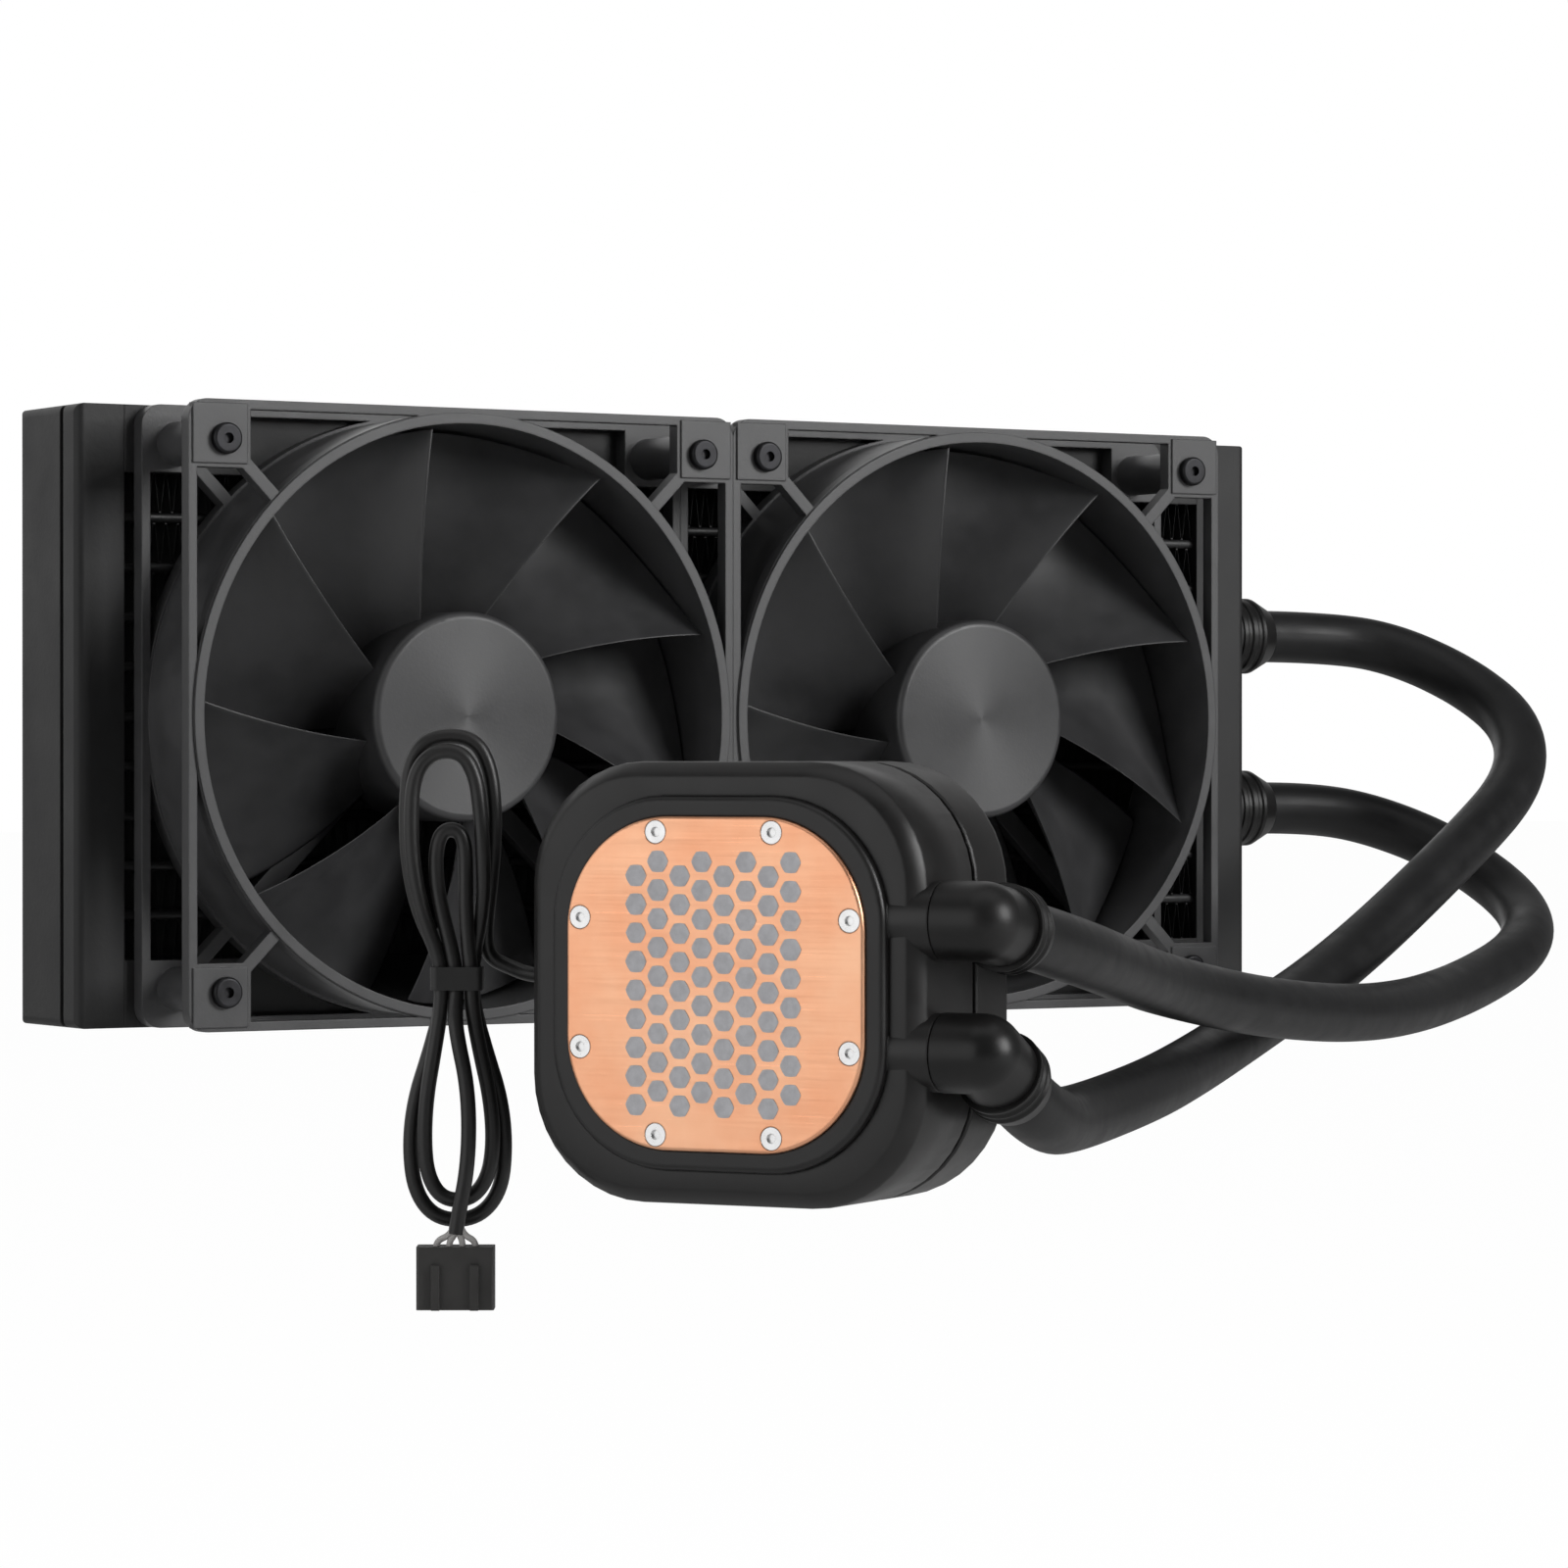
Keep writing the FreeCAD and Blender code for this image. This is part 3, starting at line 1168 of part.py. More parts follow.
def make_block():
    arm = 3.4
    bore = WELL_R + WELL_WALL
    root = bore + 1.4
    middle = stator_middle()
    pieces = {
        "cold_plate": cold_plate(),
        "cold_plate_screws": plate_screws(),
        "thermal_paste": thermal_paste(),
        "plate_gasket": gasket(),
        "pump_base": pump_base(),
        "flow_plate": flow_plate(),
        "impeller": impeller(),
        "impeller_magnet": impeller_magnet(),
        "pump_shaft": pump_shaft(),
        "pump_stator": poles(
            PUMP_STATOR_R, bore, root, PUMP_STATOR_LONG, middle, PUMP_POLES, arm),
        "pump_coils": coils(
            PUMP_STATOR_R, root, PUMP_STATOR_LONG, middle, PUMP_POLES, arm, PUMP_COIL_THICK),
        "pump_board": pump_board(),
        "pump_housing": pump_housing(),
        "pump_cap": pump_cap(),
        "cable_boot": boot(),
    }
    for name, sign, tilt in (("upper", 1, TILT_UPPER), ("lower", -1, TILT_LOWER)):
        pieces["elbow_%s" % name] = elbow(sign, tilt)
        pieces["elbow_seal_%s" % name] = oring(sign)
        pieces["hose_sleeve_%s" % name] = hose_sleeve(sign, tilt)
    for name, shape in pieces.items():
        save(name, on_block(shape))


def make_hoses_and_lead():
    half = PORT_SPACING / 2
    upper = hose_points(
        half, UPPER_HOSE_FROM_PORT, UPPER_HOSE_FROM_BLOCK, -1, TILT_LOWER,
        UPPER_HOSE_LAST_RUN)
    lower = hose_points(
        -half, LOWER_HOSE_FROM_PORT, LOWER_HOSE_FROM_BLOCK, 1, TILT_UPPER,
        LOWER_HOSE_LAST_RUN)
    save("hose_upper", routed_tube("hose_upper", HOSE_R, upper))
    save("hose_lower", routed_tube("hose_lower", HOSE_R, lower))
    save("cable_lead", routed_tube("cable_lead", CABLE_R, lead_route()))
    save("cable_tail", routed_tube("cable_tail", CABLE_R, tail_route()))
    save("cable_hank", hank())
    save("cable_tie", tie())
    save("cable_plug", plug())


os.makedirs("parts", exist_ok=True)
make_radiator()
make_fans()
make_block()
make_hoses_and_lead()
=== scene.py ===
import math

import bpy
import numpy as np
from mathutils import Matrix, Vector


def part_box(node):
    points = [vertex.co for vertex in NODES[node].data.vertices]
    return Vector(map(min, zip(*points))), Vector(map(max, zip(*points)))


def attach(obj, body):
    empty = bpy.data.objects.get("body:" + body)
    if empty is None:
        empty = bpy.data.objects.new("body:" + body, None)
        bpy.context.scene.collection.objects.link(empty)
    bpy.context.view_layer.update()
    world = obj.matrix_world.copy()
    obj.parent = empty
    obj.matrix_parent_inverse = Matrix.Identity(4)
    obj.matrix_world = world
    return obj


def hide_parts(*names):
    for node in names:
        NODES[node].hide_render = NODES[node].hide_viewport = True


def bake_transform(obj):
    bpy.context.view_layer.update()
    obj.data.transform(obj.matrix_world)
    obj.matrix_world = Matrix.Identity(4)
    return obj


bl_info = {
    "name": "Liquid Cooler",
    "version": (1, 0, 0),
    "blender": (4, 5, 0),
    "location": "View3D > Sidebar > Cooler",
    "description": "Dresses a closed liquid cooler: radiator, fans, pump block, hoses and lead",
    "category": "Add Mesh",
}

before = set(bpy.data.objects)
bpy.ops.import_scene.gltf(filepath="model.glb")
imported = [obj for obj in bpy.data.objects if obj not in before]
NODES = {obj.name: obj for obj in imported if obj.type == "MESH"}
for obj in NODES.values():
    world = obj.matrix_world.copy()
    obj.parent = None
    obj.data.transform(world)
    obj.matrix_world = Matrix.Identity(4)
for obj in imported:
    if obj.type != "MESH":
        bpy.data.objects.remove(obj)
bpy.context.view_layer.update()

MM = 0.001

# Each fan's axis is this far from the middle; its hub's flat front has this radius
FAN_X = 60.0
HUB_FACE = 19.4

# The pump block's own frame: its plate centre, its turn about the upright, and its elbows
BLOCK_AT = np.array([-102.8, -215.5, -45.5])
BLOCK_TURN = math.radians(-58.8)
ELBOW_X = 45.3
ELBOW_Y = 8.5
ARM_END = 14.15

# Each hose: the height and the dip of its elbow, its last straight run, and its route there
HOSES = {
    "upper": {
        "elbow": "lower", "height": -10.75, "dip": 28.0, "run": 12.0,
        "route": [
            (159.0, -13.5, 19.0), (175.0, -13.5, 19.0), (190.0, -20.0, 17.0),
            (201.0, -34.0, 9.0), (202.0, -51.0, -1.0), (191.0, -65.0, -13.0),
            (163.0, -80.0, -27.0), (115.0, -101.0, -50.0), (67.0, -131.0, -61.9),
            (36.0, -158.0, -65.8), (6.0, -186.0, -68.0), (-30.0, -214.0, -70.5),
        ],
    },
    "lower": {
        "elbow": "upper", "height": 10.75, "dip": 9.0, "run": 22.0,
        "route": [
            (159.0, -13.5, -19.0), (174.0, -13.5, -19.0), (188.0, -19.0, -22.0),
            (199.0, -32.0, -29.0), (202.0, -53.0, -40.5), (186.0, -74.0, -49.0),
            (149.0, -95.0, -57.0), (102.0, -128.0, -59.0), (54.0, -157.0, -55.5),
            (14.0, -180.0, -49.5), (-14.0, -206.0, -45.0),
        ],
    },
}

# The radiance of the dim room round the set
ROOM_LEVEL = 0.12

# The pump lead from its boot, then the hank's turns and the tail as (across, forward, height)
HANK_AT = np.array([-122.574, -163.444, 0.0])
HANK_TURN = math.radians(-31.5)
BOOT_END = (-41.8, 19.5, 0.0)
LEAD_START = [
    (-109.774, -166.344, -45.5), (-112.474, -163.844, -44.1), (-115.974, -162.544, -42.4),
]
HANK_LINE = [
    (4.6, -3.0, -38.5), (5.4, -2.0, -31.5), (6.1, -1.5, -25.0), (6.4, -1.4, -17.5),
    (5.6, -1.4, -9.5), (2.6, -1.4, -4.4), (-5.0, -1.4, -4.4), (-8.3, -1.4, -9.0),
    (-8.9, -1.4, -17.0), (-8.6, -1.4, -26.0), (-6.8, -1.4, -34.5), (-3.6, -1.4, -41.0),
    (-2.6, -1.4, -46.0), (-2.8, -1.4, -51.0), (-4.8, -1.4, -58.5), (-7.4, -1.4, -66.5),
    (-8.3, -1.4, -74.5), (-7.4, -1.4, -82.5), (-3.6, -1.4, -87.2), (3.2, -1.4, -87.2),
    (7.4, -1.4, -82.5), (8.2, -1.4, -74.5), (7.4, -1.4, -66.5), (4.9, -1.4, -58.5),
    (2.8, -1.4, -51.0), (2.5, -1.35, -46.0), (2.8, -1.2, -41.5), (3.8, -0.5, -37.0),
    (4.6, 0.5, -31.0), (4.5, 1.3, -24.0), (4.0, 1.35, -17.0), (3.2, 1.35, -11.0),
    (0.8, 1.35, -7.0), (-4.2, 1.35, -7.0), (-7.4, 1.35, -11.0), (-7.9, 1.35, -19.0),
    (-7.4, 1.35, -27.5), (-5.6, 1.35, -35.5), (-3.2, 1.35, -41.5), (-2.6, 1.35, -46.0),
    (-2.7, 1.35, -51.0), (-3.9, 1.35, -58.5), (-5.2, 1.35, -66.0), (-5.6, 1.35, -73.5),
    (-5.0, 1.35, -79.6), (-2.4, 1.35, -83.6), (2.4, 1.35, -83.6), (5.4, 1.35, -79.8),
    (6.3, 1.35, -73.5), (5.7, 1.35, -66.0), (4.0, 1.35, -58.5), (2.6, 1.35, -51.0),
    (2.55, 1.35, -46.0), (2.0, 1.4, -40.5), (1.5, 1.2, -34.5), (1.5, 0.8, -28.5),
    (1.4, 0.5, -23.0), (0.3, 0.4, -20.4), (-2.4, 0.4, -20.4), (-3.6, 0.4, -23.5),
    (-3.6, 0.6, -28.5), (-2.7, 0.9, -34.0), (-1.0, 1.2, -40.5), (0.0, 1.35, -46.0),
]
TAIL_LINE = [
    (-0.2, 2.4, -50.6), (0.0, 4.3, -54.7), (2.2, 4.7, -64.8), (2.2, 4.6, -77.0),
    (0.2, 4.4, -87.1), (0.0, 4.4, -89.2),
]


# Placing and measuring

def from_block(points):
    """Block points (right, depth, up) turned about the upright and moved to the block's place."""
    p = np.asarray(points, float)
    c, s = math.cos(BLOCK_TURN), math.sin(BLOCK_TURN)
    x = p[..., 0] * c - p[..., 1] * s
    y = p[..., 0] * s + p[..., 1] * c
    return np.stack([x, y, p[..., 2]], -1) + BLOCK_AT


def from_hank(points):
    """Hank points (across, forward, height): across is its face's width, forward comes out of it."""
    p = np.asarray(points, float)
    c, s = math.cos(HANK_TURN), math.sin(HANK_TURN)
    x = p[..., 0] * c + p[..., 1] * s
    y = p[..., 0] * s - p[..., 1] * c
    return np.stack([x, y, p[..., 2]], -1) + HANK_AT


def arm_point(hose, distance):
    """A point along an elbow's arm, which runs into the block's depth, dipped by its angle."""
    angle = math.radians(hose["dip"])
    along = np.array([0.0, math.cos(angle), -math.sin(angle)])
    return from_block(np.array([ELBOW_X, ELBOW_Y, hose["height"]]) + along * distance)


def hose_route(hose):
    """A hose's route with its last two points on the line of the elbow's arm."""
    ends = [arm_point(hose, ARM_END + hose["run"]), arm_point(hose, ARM_END)]
    return np.vstack([hose["route"], ends])


# Surfaces worked out with numpy

def rounded_square(half, corner, arc=10, side=5):
    """Points round a square of half width h with corner radius r: on each quarter the line
    x = h up to z = h - r, then (h - r + r cos a, h - r + r sin a), then the line z = h."""
    a = np.linspace(0, math.pi / 2, arc + 1)
    run = np.linspace(0, half - corner, side, endpoint=False)
    quarter = np.concatenate([
        half + 1j * run,
        (half - corner) * (1 + 1j) + corner * np.exp(1j * a),
        run[:0:-1] + 1j * half,
    ])
    loop = np.concatenate([quarter * 1j ** k for k in range(4)])
    return loop.real, loop.imag


def squares(rows):
    """A skin of rounded squares: row i is (half width, corner radius, depth)."""
    grid = []
    for half, corner, depth in rows:
        x, z = rounded_square(half, corner)
        grid.append(np.stack([x, np.full_like(x, depth), z], -1))
    return np.array(grid)


def tube(line, radius, across, steps=24):
    """A round tube about a line: p(s) + r(s)*(n cos t + m sin t), with n = tangent x across
    and m = tangent x n. The radius is one number or one for each point."""
    line = np.asarray(line, float)
    tangent = np.gradient(line, axis=0)
    tangent /= np.linalg.norm(tangent, axis=1, keepdims=True)
    n = np.cross(tangent, across)
    n /= np.linalg.norm(n, axis=1, keepdims=True)
    m = np.cross(tangent, n)
    t = np.linspace(0, 2 * math.pi, steps, endpoint=False)
    r = np.broadcast_to(np.asarray(radius, float).reshape(-1, 1, 1), (len(line), 1, 1))
    ring = np.cos(t)[None, :, None] * n[:, None] + np.sin(t)[None, :, None] * m[:, None]
    return line[:, None] + r * ring


def skin(grid, ends=True, joined=False):
    """Faces over a grid whose second direction closes on itself. Ends are closed with one face
    each, or the first direction closes too when joined."""
    nu, nv = grid.shape[:2]
    index = np.arange(nu * nv).reshape(nu, nv)
    near = index if joined else index[:-1]
    far = np.roll(index, -1, 0) if joined else index[1:]
    quads = np.stack([near, far, np.roll(far, -1, 1), np.roll(near, -1, 1)], -1)
    faces = quads.reshape(-1, 4).tolist()
    if ends and not joined:
        faces += [index[0].tolist(), index[-1][::-1].tolist()]
    return grid.reshape(-1, 3), faces


def joined(parts):
    """Several (points, faces) pairs as one."""
    points, faces, offset = [], [], 0
    for p, f in parts:
        points.append(p)
        faces += [[i + offset for i in face] for face in f]
        offset += len(p)
    return np.vstack(points), faces


def outward(points, faces):
    """Faces turned so that the enclosed volume, the sum of a.(b x c)/6, is positive."""
    tri = np.array([(f[0], f[i], f[i + 1]) for f in faces for i in range(1, len(f) - 1)])
    a, b, c = (points[tri[:, k]] for k in range(3))
    volume = np.einsum("ij,ij->i", a, np.cross(b, c)).sum()
    return [f[::-1] for f in faces] if volume < 0 else faces


def piece(name, parts, body, material, replaces=(), smooth=40, rides=True):
    """Makes one mesh object from closed parts in millimetres and ties it to its body."""
    made = [(p, outward(p, f)) for p, f in parts]
    points, faces = joined(made)
    mesh = bpy.data.meshes.new(name)
    mesh.from_pydata((points * MM).tolist(), [], faces)
    mesh.validate()
    mesh.shade_smooth()
    if smooth:
        mesh.set_sharp_from_angle(angle=math.radians(smooth))
    mesh.materials.append(material)
    thing = bpy.data.objects.new(name, mesh)
    bpy.context.scene.collection.objects.link(thing)
    if rides:
        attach(thing, body)
    if replaces:
        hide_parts(*replaces)
    return thing


def smooth_line(points, fine=14):
    """The points of the NURBS spline of order 3 that has the route as its control points."""
    curve = bpy.data.curves.new("route", "CURVE")
    curve.dimensions = "3D"
    spline = curve.splines.new("NURBS")
    spline.points.add(len(points) - 1)
    for point, place in zip(spline.points, points):
        point.co = (*[float(v) * MM for v in place], 1.0)
    spline.order_u = 3
    spline.use_endpoint_u = True
    curve.resolution_u = fine
    thing = bpy.data.objects.new("route", curve)
    mesh = bpy.data.meshes.new_from_object(thing)
    line = np.zeros(len(mesh.vertices) * 3)
    mesh.vertices.foreach_get("co", line)
    bpy.data.meshes.remove(mesh)
    bpy.data.objects.remove(thing)
    bpy.data.curves.remove(curve)
    return line.reshape(-1, 3) / MM


def lay_along(thing, line, steps):
    """A UV map on a tube: u is the distance along it and v the distance round it, in metres."""
    along = np.concatenate([[0], np.cumsum(np.linalg.norm(np.diff(line, axis=0), axis=1))])
    layer = thing.data.uv_layers.new(name="along")
    corners = np.zeros(len(thing.data.loops), int)
    thing.data.loops.foreach_get("vertex_index", corners)
    ring = np.minimum(corners // steps, len(line) - 1)
    uv = np.stack([along[ring] * MM, (corners % steps) / steps], -1)
    layer.data.foreach_set("uv", uv.ravel())


# Materials

def shade(text):
    """An sRGB hex colour as linear RGBA: c/12.92 below 0.04045, else ((c + 0.055)/1.055)^2.4."""
    c = np.array([int(text[i:i + 2], 16) for i in (1, 3, 5)]) / 255
    flat = np.where(c <= 0.04045, c / 12.92, ((c + 0.055) / 1.055) ** 2.4)
    return (*flat.tolist(), 1.0)


def add(tree, kind, links=(), **settings):
    """Adds a node, sets its inputs or attributes by name, and links outputs into its inputs."""
    made = tree.nodes.new(kind)
    for key, value in settings.items():
        if key in ("inputs",):
            for name, v in value.items():
                made.inputs[name].default_value = v
        else:
            setattr(made, key, value)
    for source, target in links:
        tree.links.new(source, made.inputs[target])
    return made


def start(name, **inputs):
    """A new material with its Principled shader and object coordinates."""
    material = bpy.data.materials.new(name)
    material.use_nodes = True
    tree = material.node_tree
    shader = tree.nodes["Principled BSDF"]
    for key, value in inputs.items():
        shader.inputs[key.replace("_", " ")].default_value = value
    place = add(tree, "ShaderNodeTexCoord").outputs["Object"]
    return material, tree, shader, place


def mottle(tree, shader, place, low, high, size_mm, spread=(0.35, 0.65), detail=4.0):
    """Colour that drifts between two shades over patches of a size in millimetres."""
    noise = add(tree, "ShaderNodeTexNoise", [(place, "Vector")],
                inputs={"Scale": 1000.0 / size_mm, "Detail": detail, "Roughness": 0.55})
    ramp = add(tree, "ShaderNodeValToRGB", [(noise.outputs["Fac"], "Fac")])
    ramp.color_ramp.elements[0].position = spread[0]
    ramp.color_ramp.elements[1].position = spread[1]
    ramp.color_ramp.elements[0].color = shade(low)
    ramp.color_ramp.elements[1].color = shade(high)
    tree.links.new(ramp.outputs["Color"], shader.inputs["Base Color"])
    return noise


def uneven_gloss(tree, shader, source, low, high):
    """Roughness that follows a pattern between two values."""
    span = add(tree, "ShaderNodeMapRange", [(source, "Value")],
               inputs={"From Min": 0.3, "From Max": 0.7, "To Min": low, "To Max": high})
    tree.links.new(span.outputs["Result"], shader.inputs["Roughness"])


def grain(tree, shader, place, size_mm, height_mm, edge_mm=0.0, strength=1.0):
    """A fine bump of a size and height in millimetres, with edges rounded by edge_mm."""
    noise = add(tree, "ShaderNodeTexNoise", [(place, "Vector")],
                inputs={"Scale": 1000.0 / size_mm, "Detail": 3.0, "Roughness": 0.6})
    bump = add(tree, "ShaderNodeBump", [(noise.outputs["Fac"], "Height")],
               inputs={"Distance": height_mm * MM, "Strength": strength})
    if edge_mm:
        edge = add(tree, "ShaderNodeBevel", samples=4, inputs={"Radius": edge_mm * MM})
        tree.links.new(edge.outputs["Normal"], bump.inputs["Normal"])
    tree.links.new(bump.outputs["Normal"], shader.inputs["Normal"])
    return bump


def moulded_plastic(name, low, high, gloss, size_mm=0.5, height_mm=0.02, edge_mm=0.35, sheen=0.5):
    """Moulded plastic: a fine spark-eroded grain, colour almost even, edges softly rounded."""
    material, tree, shader, place = start(name, IOR=1.5, Specular_IOR_Level=sheen)
    noise = mottle(tree, shader, place, low, high, 9.0)
    uneven_gloss(tree, shader, noise.outputs["Fac"], gloss - 0.05, gloss + 0.06)
    grain(tree, shader, place, size_mm, height_mm, edge_mm)
    return material


def rotor_plastic():
    """Moulded rotor plastic. The hub's front is spun in fine rings, which spread a lamp's light
    away from the fan's axis, along (x, 0, z), into two fans of light."""
    material = moulded_plastic("PBT, fan rotor", "#333334", "#3A3A3B", 0.40, 0.6, 0.015, 0.25)
    tree = material.node_tree
    shader = tree.nodes["Principled BSDF"]
    place = add(tree, "ShaderNodeTexCoord").outputs["Object"]
    axes = add(tree, "ShaderNodeSeparateXYZ", [(place, "Vector")]).outputs
    side = add(tree, "ShaderNodeMath", [(axes["X"], 0)], operation="SIGN")
    middle = add(tree, "ShaderNodeMath", [(side.outputs[0], 0)], operation="MULTIPLY")
    middle.inputs[1].default_value = FAN_X * MM
    across = add(tree, "ShaderNodeMath", [(axes["X"], 0), (middle.outputs[0], 1)],
                 operation="SUBTRACT")
    away = add(tree, "ShaderNodeCombineXYZ", [(across.outputs[0], "X"), (axes["Z"], "Z")])
    reach = add(tree, "ShaderNodeVectorMath", [(away.outputs[0], 0)], operation="LENGTH")
    inside = add(tree, "ShaderNodeMapRange", [(reach.outputs["Value"], "Value")],
                 inputs={"From Min": HUB_FACE * MM, "From Max": (HUB_FACE - 0.4) * MM})
    front = add(tree, "ShaderNodeMapRange", [(axes["Y"], "Value")],
                inputs={"From Min": -0.0465, "From Max": -0.047})
    spun = add(tree, "ShaderNodeMath", [(inside.outputs[0], 0), (front.outputs[0], 1)],
               operation="MULTIPLY")
    pull = add(tree, "ShaderNodeMath", [(spun.outputs[0], 0)], operation="MULTIPLY")
    pull.inputs[1].default_value = 0.5
    tree.links.new(pull.outputs[0], shader.inputs["Anisotropic"])
    tree.links.new(away.outputs[0], shader.inputs["Tangent"])
    return material


def powder_coat():
    """Black powder coat on steel and aluminium: satin, with the low waves of orange peel."""
    material, tree, shader, place = start(
        "Powder coat, satin black", IOR=1.5, Specular_IOR_Level=0.4)
    noise = mottle(tree, shader, place, "#171717", "#1E1E1F", 14.0)
    uneven_gloss(tree, shader, noise.outputs["Fac"], 0.46, 0.56)
    grain(tree, shader, place, 1.1, 0.03, 0.4)
    return material


def painted_fin():
    """Thin dipped paint on aluminium fins: nearly black, dull, with dust-like variation."""
    material, tree, shader, place = start("Dipped paint on aluminium fins", IOR=1.5)
    noise = mottle(tree, shader, place, "#121212", "#1d1d1e", 3.0)
    uneven_gloss(tree, shader, noise.outputs["Fac"], 0.42, 0.58)
    grain(tree, shader, place, 0.5, 0.01)
    return material


def ground_copper():
    """Copper ground flat: fine straight lines of the grinding belt across the plate, which
    draw the light out, and a faint warm tarnish that drifts over it."""
    material, tree, shader, place = start(
        "Copper, fine ground", Metallic=1.0, Anisotropic=0.35)
    turned_place = add(tree, "ShaderNodeMapping", [(place, "Vector")], vector_type="TEXTURE",
                       inputs={"Rotation": (0.0, 0.0, BLOCK_TURN),
                               "Location": tuple(BLOCK_AT * MM)}).outputs["Vector"]
    mottle(tree, shader, turned_place, "#F0AA83", "#F7BF9A", 16.0, (0.3, 0.7))
    # Grinding lines are about 0.05 mm; they are drawn 0.35 mm apart so that they show
    lines = add(tree, "ShaderNodeMapping", [(turned_place, "Vector")],
                inputs={"Scale": (40.0, 40.0, 2800.0)}).outputs["Vector"]
    scratch = add(tree, "ShaderNodeTexNoise", [(lines, "Vector")],
                  inputs={"Scale": 1.0, "Detail": 4.0, "Roughness": 0.65})
    uneven_gloss(tree, shader, scratch.outputs["Fac"], 0.26, 0.42)
    bump = add(tree, "ShaderNodeBump", [(scratch.outputs["Fac"], "Height")],
               inputs={"Distance": 0.006 * MM, "Strength": 0.6})
    edge = add(tree, "ShaderNodeBevel", samples=4, inputs={"Radius": 0.3 * MM})
    tree.links.new(edge.outputs["Normal"], bump.inputs["Normal"])
    tree.links.new(bump.outputs["Normal"], shader.inputs["Normal"])
    return material


def thermal_compound():
    """Silicone compound filled with metal oxide: flat grey, slightly waxy, softly lumpy."""
    material, tree, shader, place = start("Thermal compound, grey", IOR=1.42)
    noise = mottle(tree, shader, place, "#C2C2C6", "#D0D0D4", 1.5)
    uneven_gloss(tree, shader, noise.outputs["Fac"], 0.45, 0.6)
    grain(tree, shader, place, 0.6, 0.03)
    return material


def metal(name, low, high, gloss, size_mm=1.2, height_mm=0.01):
    """Bright or blackened metal with small drifts of tone and fine tool marks."""
    material, tree, shader, place = start(name, Metallic=1.0)
    noise = mottle(tree, shader, place, low, high, 3.0)
    uneven_gloss(tree, shader, noise.outputs["Fac"], gloss - 0.05, gloss + 0.08)
    grain(tree, shader, place, size_mm, height_mm, 0.15)
    return material


def hose_rubber():
    """Extruded rubber hose: satin black, with the faint lengthwise lines of the die."""
    material, tree, shader, place = start(
        "EPDM rubber hose", IOR=1.5, Specular_IOR_Level=0.35)
    uv = add(tree, "ShaderNodeUVMap", uv_map="along").outputs["UV"]
    stretched = add(tree, "ShaderNodeMapping", [(uv, "Vector")],
                    inputs={"Scale": (6.0, 60.0, 1.0)}).outputs["Vector"]
    lines = add(tree, "ShaderNodeTexNoise", [(stretched, "Vector")],
                inputs={"Scale": 1.0, "Detail": 3.0, "Roughness": 0.6})
    noise = mottle(tree, shader, place, "#0F0F10", "#161617", 7.0)
    uneven_gloss(tree, shader, noise.outputs["Fac"], 0.42, 0.54)
    bump = add(tree, "ShaderNodeBump", [(lines.outputs["Fac"], "Height")],
               inputs={"Distance": 0.03 * MM, "Strength": 0.8})
    tree.links.new(bump.outputs["Normal"], shader.inputs["Normal"])
    return material


def circuit_board():
    """Glass-epoxy board under green lacquer, with a faint weave of about 0.5 mm."""
    material, tree, shader, place = start("FR-4 board, green lacquer", IOR=1.52, Roughness=0.3)
    mottle(tree, shader, place, "#123A1E", "#1B4E29", 2.0)
    weave = add(tree, "ShaderNodeTexChecker", [(place, "Vector")], inputs={"Scale": 2000.0})
    bump = add(tree, "ShaderNodeBump", [(weave.outputs["Fac"], "Height")],
               inputs={"Distance": 0.01 * MM, "Strength": 0.5})
    tree.links.new(bump.outputs["Normal"], shader.inputs["Normal"])
    return material


def enamelled_wire():
    """Copper wire under clear enamel, wound in turns about 0.5 mm apart."""
    material, tree, shader, place = start(
        "Enamelled copper wire", Metallic=1.0, Roughness=0.3, Coat_Weight=0.6)
    wave = add(tree, "ShaderNodeTexWave", [(place, "Vector")],
               inputs={"Scale": 320.0, "Distortion": 0.4})
    ramp = add(tree, "ShaderNodeValToRGB", [(wave.outputs["Fac"], "Fac")])
    ramp.color_ramp.elements[0].color = shade("#6E3A1C")
    ramp.color_ramp.elements[1].color = shade("#C67A45")
    tree.links.new(ramp.outputs["Color"], shader.inputs["Base Color"])
    bump = add(tree, "ShaderNodeBump", [(wave.outputs["Fac"], "Height")],
               inputs={"Distance": 0.15 * MM, "Strength": 0.8})
    tree.links.new(bump.outputs["Normal"], shader.inputs["Normal"])
    return material


